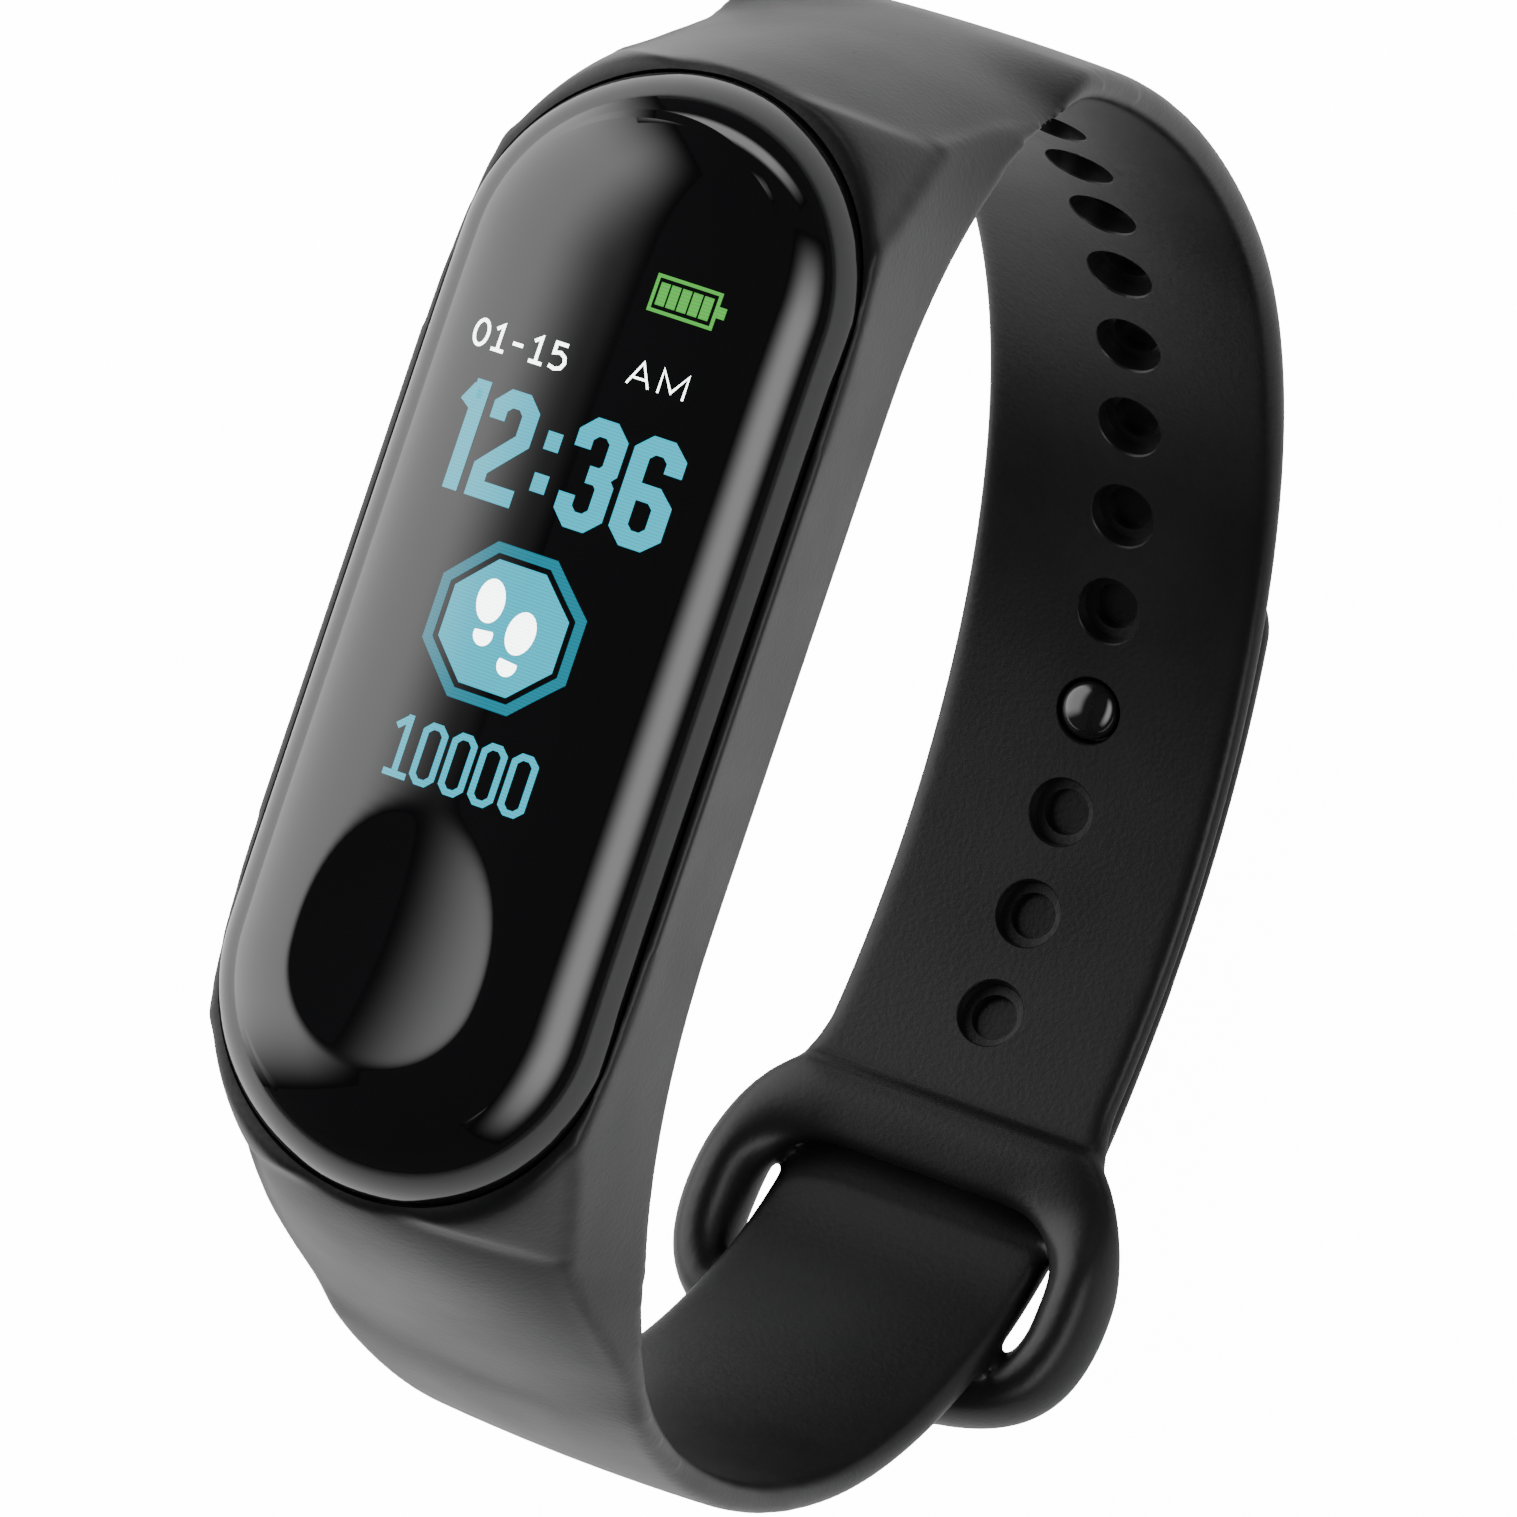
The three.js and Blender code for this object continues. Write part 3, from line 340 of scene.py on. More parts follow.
def even_stadium(radius, z, sides=240, spine=SPINE):
    """The same ring with evenly spread points that mirror each other across the spine."""
    height = z if callable(z) else (lambda y: z)
    quarter = math.pi / 2 * LENS_RADIUS
    right = []
    for i in range(sides // 2 + 1):
        d = i / (sides // 2) * (2 * quarter + 2 * spine)
        if d < quarter:
            a = d / LENS_RADIUS
            right.append((radius * math.sin(a), -spine - radius * math.cos(a)))
        elif d < quarter + 2 * spine:
            right.append((radius, d - quarter - spine))
        else:
            a = (d - quarter - 2 * spine) / LENS_RADIUS
            right.append((radius * math.cos(a), spine + radius * math.sin(a)))
    left = [(-x, y) for x, y in right[-2:0:-1]]
    return [(x, y, height(y)) for x, y in right + left]


def apply_modifiers(piece):
    """The piece's own mesh becomes what its modifiers make of it."""
    depsgraph = bpy.context.evaluated_depsgraph_get()
    finished = bpy.data.meshes.new_from_object(piece.evaluated_get(depsgraph))
    piece.modifiers.clear()
    piece.data = finished


def carve(piece, *tools):
    """Cuts each tool out of the piece and deletes the tool."""
    for tool in tools:
        cut = piece.modifiers.new("cut", "BOOLEAN")
        cut.operation = "DIFFERENCE"
        cut.solver = "EXACT"
        cut.object = tool
        apply_modifiers(piece)
        bpy.data.objects.remove(tool)


def half_width(s, end, arm):
    """Half the strap's width where it narrows from the cradle to an arm."""
    return mix(CRADLE_HALF, arm, smooth((s - end + NARROWING_FROM) / NARROWING_LENGTH))


def shoulder(path, end, arm, run, slope, leave, arrive, count=26):
    """Rings from the cradle's lip down to the thin strap; slope is in degrees below level."""
    slope = math.radians(slope)
    side = math.copysign(1, path(end)[0][0])
    start, stop = end + LIP_END - HALF_LENGTH, end + run
    spot, along, out = path(stop)
    lip = np.array([side * LIP_END, seam_at(LIP_END)])
    foot = spot + THICKNESS * out
    span = np.linalg.norm(foot - lip)
    p1 = lip + leave * span * np.array([side * math.cos(slope), -math.sin(slope)])
    p2 = foot - arrive * span * along
    rings = []
    for i in range(count + 1):
        t = i / count
        s = mix(start, stop, t)
        outer = (1 - t) ** 3 * lip + 3 * t * (1 - t) ** 2 * p1 + 3 * t * t * (1 - t) * p2 + t**3 * foot
        half = half_width(s, end, arm)
        fall = mix(EDGE_FALL, ARM_FALL, smooth(t))
        half_out = mix(END_HALF, half, smooth(t * 1.15))
        rings.append(section(path(s)[0], outer, half, half_out, fall=fall))
    return rings


def arm_ring(path, s, half, near=0.0, thickness=THICKNESS, fall=ARM_FALL, edge=EDGE):
    spot, along, out = path(s)
    return section(spot + near * out, spot + (near + thickness) * out, half, half, edge, fall)


def threaded(t):
    """Middle line of the clasp arm on its way through the loop, and its outward direction."""
    spot, along, out = clasp_path(CLASP_LEAVES)
    a, da = spot + MID * out, along
    spot, along, out = holed_path(HINGE_STATION)
    b, db = spot + (TAIL_NEAR + MID) * out, along
    leave_pull, join_pull = 8, 6
    p = [a, a + leave_pull * da, b + join_pull * db, b]
    at = (1 - t) ** 3 * p[0] + 3 * t * (1 - t) ** 2 * p[1] + 3 * t * t * (1 - t) * p[2] + t**3 * p[3]
    d = (1 - t) ** 2 * (p[1] - p[0]) + 2 * t * (1 - t) * (p[2] - p[1]) + t * t * (p[3] - p[2])
    d = d / np.linalg.norm(d)
    return at, np.array([d[1], -d[0]])


def threaded_ring(t, grow=0.0):
    at, out = threaded(t)
    reach = MID + grow
    half = CLASP_HALF + grow
    return section(at - reach * out, at + reach * out, half, half, fall=THREADED_FALL)


def strap_body():
    """Clasp arm, cradle and holed arm as one closed tube."""
    rings = [threaded_ring(SLOT_SEAM * (1 - i / 16)) for i in range(16)]
    for i in range(64):
        s = mix(CLASP_LEAVES, CLASP_END + CLASP_RUN, i / 64)
        rings.append(arm_ring(clasp_path, s, half_width(s, CLASP_END, CLASP_HALF)))
    clasp_form = (CLASP_RUN, CLASP_SLOPE, CLASP_LEAVE, CLASP_ARRIVE)
    rings += shoulder(clasp_path, CLASP_END, CLASP_HALF, *clasp_form)[::-1]
    for i in range(1, 150):
        y = mix(-LIP_END, LIP_END, i / 150)
        path = clasp_path if y < 0 else holed_path
        floor_z = path(station_at(path, abs(y)))[0][1]
        falling = (max(0.0, abs(y) - FALL_FROM) / (LIP_END - FALL_FROM)) ** 2
        half_out = mix(LIP_HALF, END_HALF, falling)
        past_spine = max(0.0, abs(y) - SPINE)
        flat = min(half_out - 0.3, math.sqrt(max(0.0, LIP_HALF**2 - past_spine**2)))
        fall = EDGE_FALL * falling
        skin, lip = (y, floor_z), (y, seam_at(y))
        rings.append(section(skin, lip, CRADLE_HALF, half_out, edge=LIP_EDGE, fall=fall, flat=flat))
    holed_form = (HOLED_RUN, HOLED_SLOPE, HOLED_LEAVE, HOLED_ARRIVE)
    rings += shoulder(holed_path, HOLED_END, HOLED_HALF, *holed_form)
    for i in range(1, 120):
        s = mix(HOLED_END + HOLED_RUN, LOOP_STATION + INTO_LOOP, i / 119)
        flare = smooth((s - LOOP_STATION + FLARE_FROM) / FLARE_LENGTH)
        half = mix(half_width(s, HOLED_END, HOLED_HALF), LOOP_ROOT_HALF, flare)
        rings.append(arm_ring(holed_path, s, half))
    return tube("strap_body", rings)


LOOP_TILT = 13.9


def loop_matrix():
    """The loop's own frame: Y from its root bar to its end bar, Z away from the wrist."""
    spot, along, out = holed_path(LOOP_STATION)
    c, s = math.cos(math.radians(LOOP_TILT)), math.sin(math.radians(LOOP_TILT))
    y = (along[0] * c - along[1] * s, along[0] * s + along[1] * c)
    z = (-y[1], y[0])
    root = spot + MID * out
    return Matrix(((1, 0, 0, 0), (0, y[0], z[0], root[0]), (0, y[1], z[1], root[1]), (0, 0, 0, 1)))


LOOP_HALF = 11
LOOP_LENGTH = 12.6
SLOT_HALF = 7.75
ROOT_DEPTH = 0.95
ROOT_DROP = 0.28
BAR_DEPTH = 2.5
SLOT_FROM = 1.5
SLOT_TO = 9.5
SLOT_CORNER = 3.2
SLOT_MIDDLE = 5.5
ROOT_BACK = -2.4
OUTLINE_CUTS = 12


def loop_frame():
    """The loop's round bars, thinner at the root where the clasp arm lies on them."""
    widest = LOOP_LENGTH * 0.42
    turns_at = LOOP_HALF * 0.68
    flank, end = (LOOP_HALF, widest), (0, LOOP_LENGTH)
    right = (
        ((turns_at, ROOT_BACK), (LOOP_HALF * 0.84, -1.4), (LOOP_HALF, widest * 0.25), flank),
        (flank, (LOOP_HALF, LOOP_LENGTH * 0.88), (turns_at, LOOP_LENGTH), end),
    )
    outer = [(0.0, ROOT_BACK), (LOOP_HALF * 0.4, ROOT_BACK)]
    for p in right:
        for i in range(25):
            t = i / 25
            weights = ((1 - t) ** 3, 3 * t * (1 - t) ** 2, 3 * t * t * (1 - t), t**3)
            outer.append(tuple(sum(w * q[k] for w, q in zip(weights, p)) for k in (0, 1)))
    outer.append((0.0, LOOP_LENGTH))
    inner = [(0.0, SLOT_FROM)]
    for x, y, start in ((SLOT_HALF, SLOT_FROM, -90), (SLOT_HALF, SLOT_TO, 0)):
        cy = y + SLOT_CORNER if start < 0 else y - SLOT_CORNER
        for i in range(13):
            a = math.radians(start + 90 * i / 12)
            inner.append((x - SLOT_CORNER + SLOT_CORNER * math.cos(a), cy + SLOT_CORNER * math.sin(a)))
    inner.append((0.0, SLOT_TO))
    centre = SLOT_MIDDLE

    def filled(outline):
        """The outline with extra points along its straight stretches."""
        points = []
        for a, b in zip(outline, outline[1:]):
            for i in range(OUTLINE_CUTS):
                points.append((mix(a[0], b[0], i / OUTLINE_CUTS), mix(a[1], b[1], i / OUTLINE_CUTS)))
        return points + [outline[-1]]

    outer, inner = filled(outer), filled(inner)

    def reach(outline, angle):
        angles = [math.atan2(y - centre, x) for x, y in outline]
        return np.interp(angle, angles, [math.hypot(x, y - centre) for x, y in outline])

    around, sides = 24, 144
    rings = []
    for j in range(sides + 1):
        turn = 2 * math.pi * j / sides
        angle = math.asin(max(-1.0, min(1.0, math.sin(turn))))
        side = math.copysign(1, math.cos(turn))
        far, near = reach(outer, angle), reach(inner, angle)
        middle, half = (far + near) / 2, (far - near) / 2
        depth = mix(ROOT_DEPTH, BAR_DEPTH, smooth((centre + middle * math.sin(angle) - 0.4) / 4))
        lift = 0.45 * (depth - ROOT_DEPTH) - ROOT_DROP
        ring = []
        for i in range(around):
            a = 2 * math.pi * i / around
            r = middle + half * math.cos(a)
            x, y = side * r * math.cos(angle), centre + r * math.sin(angle)
            ring.append((x, y, lift + depth * math.sin(a)))
        rings.append(ring)
    loop = tube("loop_frame", rings, caps=False)
    bm = bmesh.new()
    bm.from_mesh(loop.data)
    bmesh.ops.remove_doubles(bm, verts=bm.verts, dist=0.001 * MM)
    bmesh.ops.recalc_face_normals(bm, faces=bm.faces)
    m = loop_matrix()
    for v in bm.verts:
        v.co = (m @ (v.co / MM)) * MM
    bm.to_mesh(loop.data)
    bm.free()
    return loop


def pin(name, path, station, profile, around=36):
    """A turned tool or piece on the strap: profile rows are radius and height off the skin side."""
    spot, along, out = path(station)
    rings = []
    for radius, height in profile:
        centre = spot + height * out
        ring = []
        for i in range(around):
            a = 2 * math.pi * i / around
            u = radius * math.sin(a)
            ring.append((radius * math.cos(a), centre[0] + u * along[0], centre[1] + u * along[1]))
        rings.append(ring)
    return tube(name, rings)


BLIND_PROFILE = ((2.1, -0.5), (1.72, -0.09), (1.62, 0.05), (1.57, 0.8), (1.12, 0.84), (1.1, 1.35))
THROUGH_PROFILE = BLIND_PROFILE[:-1] + ((1.1, 1.5), (1.2, 1.72), (1.9, 2.6))


LENS_GAP = 0.07
CAPSULE_ROOM_RADIUS = 7.9
LEDGE = SEAM - 1.55
REMESH_SIZE = 0.2
SHARP_ANGLE = 28


def strap():
    body = strap_body()
    loop = loop_frame()
    bm = bmesh.new()
    bm.from_mesh(body.data)
    bm.from_mesh(loop.data)
    bm.to_mesh(body.data)
    bm.free()
    bpy.data.objects.remove(loop)
    remesh = body.modifiers.new("fuse", "REMESH")
    remesh.mode = "VOXEL"
    remesh.voxel_size = REMESH_SIZE * MM
    remesh.use_smooth_shade = True
    relax = body.modifiers.new("relax", "SMOOTH")
    relax.factor = 0.5
    relax.iterations = 16
    thin = body.modifiers.new("thin", "DECIMATE")
    thin.ratio = 0.42
    apply_modifiers(body)
    lens_room = LENS_RADIUS + LENS_GAP
    capsule_hole = tube(
        "capsule_hole",
        [
            stadium(CAPSULE_ROOM_RADIUS, SKIN_HEIGHT - 15),
            stadium(CAPSULE_ROOM_RADIUS, LEDGE),
            stadium(lens_room, SEAM - 1.54),
            stadium(lens_room, lambda y: seam_at(y) - 0.12),
            stadium(lens_room + 0.08, lambda y: seam_at(y) + 0.03),
            stadium(lens_room + 0.08, SEAM + 3),
        ],
    )
    holes = []
    for i in range(HOLE_COUNT):
        station = FIRST_HOLE + HOLE_PITCH * i
        profile = THROUGH_PROFILE if abs(station - STUD_STATION) < MID else BLIND_PROFILE
        holes.append(pin("hole_tool", holed_path, station, profile))
    carve(body, capsule_hole, *holes)
    body.data.polygons.foreach_set("use_smooth", [True] * len(body.data.polygons))
    body.data.set_sharp_from_angle(angle=math.radians(SHARP_ANGLE))
    return body


def value_node(nodes, kind, **settings):
    node = nodes.new(kind)
    for key, value in settings.items():
        setattr(node, key, value)
    return node


def mould_grain_group():
    """Fine grain and slow drift of a moulded surface, for its colour, roughness and bump."""
    group = bpy.data.node_groups.new("mould_grain", "ShaderNodeTree")
    face = group.interface
    for name, default in (("Grain Size", 4000.0), ("Drift Size", 120.0)):
        face.new_socket(name, in_out="INPUT", socket_type="NodeSocketFloat").default_value = default
    for name in ("Grain", "Drift", "Specks"):
        face.new_socket(name, in_out="OUTPUT", socket_type="NodeSocketFloat")
    nodes, links = group.nodes, group.links
    source = nodes.new("NodeGroupInput")
    result = nodes.new("NodeGroupOutput")
    place = nodes.new("ShaderNodeTexCoord")
    grain = value_node(nodes, "ShaderNodeTexNoise", noise_dimensions="3D")
    grain.inputs["Detail"].default_value = 3
    drift = value_node(nodes, "ShaderNodeTexNoise", noise_dimensions="3D")
    drift.inputs["Detail"].default_value = 4
    specks = nodes.new("ShaderNodeTexVoronoi")
    specks.inputs["Scale"].default_value = 900
    speck_range = nodes.new("ShaderNodeMapRange")
    speck_range.inputs["From Min"].default_value = 0.03
    speck_range.inputs["From Max"].default_value = 0.07
    speck_range.inputs["To Min"].default_value = 1
    speck_range.inputs["To Max"].default_value = 0
    for texture, size in ((grain, "Grain Size"), (drift, "Drift Size")):
        links.new(place.outputs["Object"], texture.inputs["Vector"])
        links.new(source.outputs[size], texture.inputs["Scale"])
    links.new(place.outputs["Object"], specks.inputs["Vector"])
    links.new(specks.outputs["Distance"], speck_range.inputs["Value"])
    links.new(grain.outputs["Fac"], result.inputs["Grain"])
    links.new(drift.outputs["Fac"], result.inputs["Drift"])
    links.new(speck_range.outputs["Result"], result.inputs["Specks"])
    return group


mould_grain = mould_grain_group()


def moulded(
    name, dark, light, rough, bump=0.02, grain=4000.0, drift=120.0, metallic=0.0, specks=0.0, gloss=0.5
):
    """A material whose colour and roughness drift over the surface, with a fine grain in relief."""
    material = bpy.data.materials.new(name)
    material.use_nodes = True
    nodes, links = material.node_tree.nodes, material.node_tree.links
    shader = nodes["Principled BSDF"]
    shader.inputs["Metallic"].default_value = metallic
    shader.inputs["Coat Weight"].default_value = 0.0
    shader.inputs["Coat Roughness"].default_value = 0.08
    shader.inputs["Specular IOR Level"].default_value = gloss
    surface = value_node(nodes, "ShaderNodeGroup", node_tree=mould_grain)
    surface.inputs["Grain Size"].default_value = grain
    surface.inputs["Drift Size"].default_value = drift
    colour = value_node(nodes, "ShaderNodeMix", data_type="RGBA")
    colour.inputs["A"].default_value = (*dark, 1)
    colour.inputs["B"].default_value = (*light, 1)
    dust = value_node(nodes, "ShaderNodeMath", operation="MULTIPLY_ADD")
    dust.inputs[1].default_value = specks
    roughness = nodes.new("ShaderNodeMapRange")
    roughness.inputs["From Min"].default_value = 0.3
    roughness.inputs["From Max"].default_value = 0.7
    roughness.inputs["To Min"].default_value = rough[0]
    roughness.inputs["To Max"].default_value = rough[1]
    relief = nodes.new("ShaderNodeBump")
    relief.inputs["Strength"].default_value = 1
    relief.inputs["Distance"].default_value = bump * MM
    links.new(surface.outputs["Specks"], dust.inputs[0])
    links.new(surface.outputs["Drift"], dust.inputs[2])
    links.new(dust.outputs[0], colour.inputs["Factor"])
    links.new(surface.outputs["Drift"], roughness.inputs["Value"])
    links.new(colour.outputs["Result"], shader.inputs["Base Color"])
    links.new(roughness.outputs["Result"], shader.inputs["Roughness"])
    links.new(surface.outputs["Grain"], relief.inputs["Height"])
    links.new(relief.outputs["Normal"], shader.inputs["Normal"])
    return material


silicone = moulded(
    "black_silicone", (0.004, 0.004, 0.0042), (0.007, 0.007, 0.0073), (0.34, 0.42), bump=0.012, gloss=0.24
)


def finish_piece(piece, material, slot, body, *stands_for):
    """Gives a piece its material and tells the frame what it rides on and stands for."""
    piece.data.materials.clear()
    piece.data.materials.append(material)
    if body:
        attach(piece, body)
    if stands_for:
        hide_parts(*stands_for)


finish_piece(
    strap(), silicone, "silicone", "strap", "strap_cradle", "strap_holed_arm", "strap_loop", "strap_clasp_arm"
)


# ---- Tail -----------------------------------------------------------------------------------
# The free end of the clasp arm. It leaves the loop's slot, lies on the outside of the holed arm
# and ends in a thinned round tip. It is the same silicone, and its shape curves where it leaves the loop.

TAIL_PAST_STUD = 8
TIP_STATION = STUD_STATION - TAIL_PAST_STUD
TIP_LENGTH = 3


def tail():
    rings = [threaded_ring(0.47, grow=-0.06), threaded_ring(0.49, grow=-0.02)]
    rings += [threaded_ring(0.505 + 0.495 * i / 20) for i in range(20)]
    for i in range(90):
        s = mix(HINGE_STATION, TIP_STATION + TIP_LENGTH, i / 90)
        fall = mix(THREADED_FALL, ARM_FALL, smooth(i / 10))
        rings.append(arm_ring(holed_path, s, CLASP_HALF, near=TAIL_NEAR, fall=fall))
    for i in range(19):
        a = math.radians(90 * (1 - i / 18))
        s = TIP_STATION + TIP_LENGTH * (1 - math.cos(a))
        shrink = max(0.02, math.sin(a))
        half = CLASP_HALF * mix(0.5, 1, shrink**0.9)
        thick = THICKNESS * mix(0.25, 1, min(1, shrink * 1.6))
        near = TAIL_NEAR + (THICKNESS - thick) / 3
        rings.append(arm_ring(holed_path, s, half, near=near, thickness=thick))
    return tube("tail", rings)


tail_piece = tail()
finish_piece(tail_piece, silicone, "silicone", None, "strap_tail")
hinge_spot, hinge_along, hinge_out = holed_path(HINGE_STATION)
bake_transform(tail_piece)


# ---- Stud and button ------------------------------------------------------------------------
# A turned mushroom stud in polished black plastic, pushed inwards through the tail and the ninth
# hole, and the round button on the outside that it is pressed into.

HEAD_RADIUS = 1.45
HEAD_HEIGHT = 0.9
stud_profile = [
    (HEAD_RADIUS * math.sin(math.radians(a)), 0.35 - HEAD_HEIGHT * math.cos(math.radians(a)))
    for a in range(2, 91, 8)
]
stud_profile += [(HEAD_RADIUS, 0.5), (1.38, 0.64), (1.2, 0.7), (0.8, 0.7), (0.8, 4.15)]
button_profile = [
    (0.86, 3.86), (2.1, 3.88), (2.2, 3.95), (2.2, 4.1), (2.12, 4.25), (1.9, 4.36), (1.5, 4.42), (0.05, 4.45)
]

polished_black = moulded(
    "polished_black", (0.006, 0.006, 0.006), (0.010, 0.010, 0.011), (0.06, 0.12), bump=0.001
)
stud = pin("stud", holed_path, STUD_STATION, stud_profile, 64)
finish_piece(stud, polished_black, "gloss_black", "tail", "clasp_stud")
button = pin("button", holed_path, STUD_STATION, button_profile, 64)
finish_piece(button, polished_black, "gloss_black", "tail", "clasp_button")


# ---- Lens -----------------------------------------------------------------------------------
# The glossy black front cover, curved down on every side, with the touch key as a shallow dish
# near its lower end. Its skirt drops into the cradle, and the display sits in its pocket.

LENS_RISE = 4.1
SQUARENESS = 2.5
RIM = 1.02
DISH_Y = -14.05
DISH_RADIUS = 4.1
DISH_DEPTH = 0.34
POCKET_RADIUS, POCKET_TOP, POCKET_FOOT = 6.4, SEAM + LENS_RISE - 1.55, SEAM + LENS_RISE - 3.05
SKIRT_RADIUS, SKIRT_FOOT = 7.0, SEAM - 1.25


def curve_at(reach):
    return (1 - (min(1.0, reach) / RIM) ** SQUARENESS) ** (1 / SQUARENESS)


def dome(x, y):
    """Height of the lens over the skin side's zero, without the dish."""
    reach = math.hypot(x, max(0.0, abs(y) - SPINE)) / LENS_RADIUS
    return seam_at(y) + LENS_RISE * (curve_at(reach) - curve_at(1)) / (1 - curve_at(1))


DISH_RIM = dome(DISH_RADIUS, DISH_Y)


def lens_height(x, y):
    """The dome with the dish blended in over a narrow rounded rim."""
    top = dome(x, y)
    r = math.hypot(x, y - DISH_Y) / DISH_RADIUS
    bowl = DISH_RIM - 0.03 - DISH_DEPTH * (1 - r * r)
    softness = 0.05
    gap = (top - bowl) / softness
    if gap > 30:
        return bowl
    if gap < -30:
        return top
    return top - softness * math.log1p(math.exp(gap))


def lens():
    rings = [even_stadium(POCKET_RADIUS, POCKET_TOP), even_stadium(POCKET_RADIUS, POCKET_FOOT)]
    rings += [even_stadium(SKIRT_RADIUS, POCKET_FOOT), even_stadium(SKIRT_RADIUS, SKIRT_FOOT)]
    rings += [even_stadium(8.45, SKIRT_FOOT), even_stadium(LENS_RADIUS, SEAM - 1.2)]
    rings.append(even_stadium(LENS_RADIUS, lambda y: seam_at(y) - 0.3))
    steps = 70
    for i in range(steps + 1):
        radius = LENS_RADIUS * (1 - (i / steps) ** 2 * 0.4 - (i / steps) * 0.6)
        rings.append([(x, y, lens_height(x, y)) for x, y, _ in even_stadium(radius, 0)])
    piece = tube("lens", rings, caps=False)
    bm = bmesh.new()
    bm.from_mesh(piece.data)
    bm.verts.ensure_lookup_table()
    bm.faces.new(bm.verts[: len(rings[0])])
    bmesh.ops.remove_doubles(bm, verts=bm.verts, dist=0.001 * MM)
    bmesh.ops.recalc_face_normals(bm, faces=bm.faces)
    bm.to_mesh(piece.data)
    bm.free()
    piece.data.polygons.foreach_set("use_smooth", [True] * len(piece.data.polygons))
    return piece


lens_black = moulded("lens_black", (0.0035, 0.0035, 0.004), (0.0045, 0.0045, 0.005), (0.03, 0.06), bump=0.0)
finish_piece(lens(), lens_black, "lens", "capsule", "front_lens")


# ---- Display graphics -----------------------------------------------------------------------
# What the colour display shows under the lens: battery, date, time, a step icon and a step count.
# Each shape is a thin lit patch that follows the lens, as the bonded display looks from outside.

INK_LIFT = 0.012


def glow(name, colour, strength):
    material = bpy.data.materials.new(name)
    material.use_nodes = True
    nodes, links = material.node_tree.nodes, material.node_tree.links
    shader = nodes["Principled BSDF"]
    shader.inputs["Base Color"].default_value = (0.004, 0.004, 0.005, 1)
    shader.inputs["Roughness"].default_value = 0.05
    shader.inputs["Emission Strength"].default_value = strength
    place = nodes.new("ShaderNodeTexCoord")
    lines = nodes.new("ShaderNodeTexWave")
    lines.bands_direction = "Y"
    lines.inputs["Scale"].default_value = 2300
    shade = value_node(nodes, "ShaderNodeMix", data_type="RGBA")
    shade.inputs["A"].default_value = (*[c * 0.82 for c in colour], 1)
    shade.inputs["B"].default_value = (*colour, 1)
    links.new(place.outputs["Object"], lines.inputs["Vector"])
    links.new(lines.outputs["Fac"], shade.inputs["Factor"])
    links.new(shade.outputs["Result"], shader.inputs["Emission Color"])
    return material


cyan = glow("lit_cyan", (0.02, 0.60, 0.80), 1.3)
teal = glow("lit_teal", (0.005, 0.30, 0.42), 1.0)
white = glow("lit_white", (0.95, 1.0, 1.0), 7.0)
green = glow("lit_green", (0.10, 0.62, 0.08), 1.2)


def signed_area(outline):
    """Positive where the outline runs anticlockwise."""
    return sum(a[0] * b[1] - b[0] * a[1] for a, b in zip(outline, outline[1:] + outline[:1]))


def patches(name, material, outlines, lift=INK_LIFT):
    """Flat outlines in millimetres, cut into small cells and laid on the lens."""
    bm = bmesh.new()
    for outline in outlines:
        verts = [bm.verts.new((x, y, 0)) for x, y in outline]
        face = bm.faces.new(verts)
        if face.calc_area() and signed_area(outline) < 0:
            face.normal_flip()
    for axis, cells, pitch in ((0, 24, 0.25), (1, 60, 0.5)):
        normal = (1, 0, 0) if axis == 0 else (0, 1, 0)
        for i in range(-cells, cells + 1):
            spot = [0.0, 0.0, 0.0]
            spot[axis] = i * pitch + 0.01
            geom = bm.verts[:] + bm.edges[:] + bm.faces[:]
            bmesh.ops.bisect_plane(bm, geom=geom, plane_co=spot, plane_no=normal)
    for v in bm.verts:
        v.co.z = lens_height(v.co.x, v.co.y) + lift
    for v in bm.verts:
        v.co = v.co * MM
    bmesh.ops.triangulate(bm, faces=bm.faces[:])
    mesh = bpy.data.meshes.new(name)
    bm.to_mesh(mesh)
    bm.free()
    mesh.polygons.foreach_set("use_smooth", [True] * len(mesh.polygons))
    piece = bpy.data.objects.new(name, mesh)
    scene.collection.objects.link(piece)
    finish_piece(piece, material, "display_glass", "capsule")


def stroke(points, width, closed=False):
    """Four-sided pieces along a line of points, mitred where it turns."""
    spots = [Vector(p) for p in points]
    count = len(spots)
    sides = []
    for i, spot in enumerate(spots):
        before = spot - spots[i - 1] if closed or i > 0 else spots[1] - spot
        after = spots[(i + 1) % count] - spot if closed or i < count - 1 else before
        a, b = before.normalized(), after.normalized()
        normal = Vector((-a.y - b.y, a.x + b.x)).normalized()
        reach = width / 2 / max(0.5, normal.dot(Vector((-b.y, b.x))))
        sides.append((tuple(spot + normal * reach), tuple(spot - normal * reach)))
    last = count if closed else count - 1
    pairs = [(sides[i], sides[(i + 1) % count]) for i in range(last)]
    return [[here[1], there[1], there[0], here[0]] for here, there in pairs]


def moved(lines, x, y):
    return [[(px + x, py + y) for px, py in line] for line in lines]


CYAN_STROKE = 0.7
DIGIT_WIDTH, DIGIT_HEIGHT, DIGIT_FOOT = 1.38, 3.75, 4.7
CHAMFER = 0.4


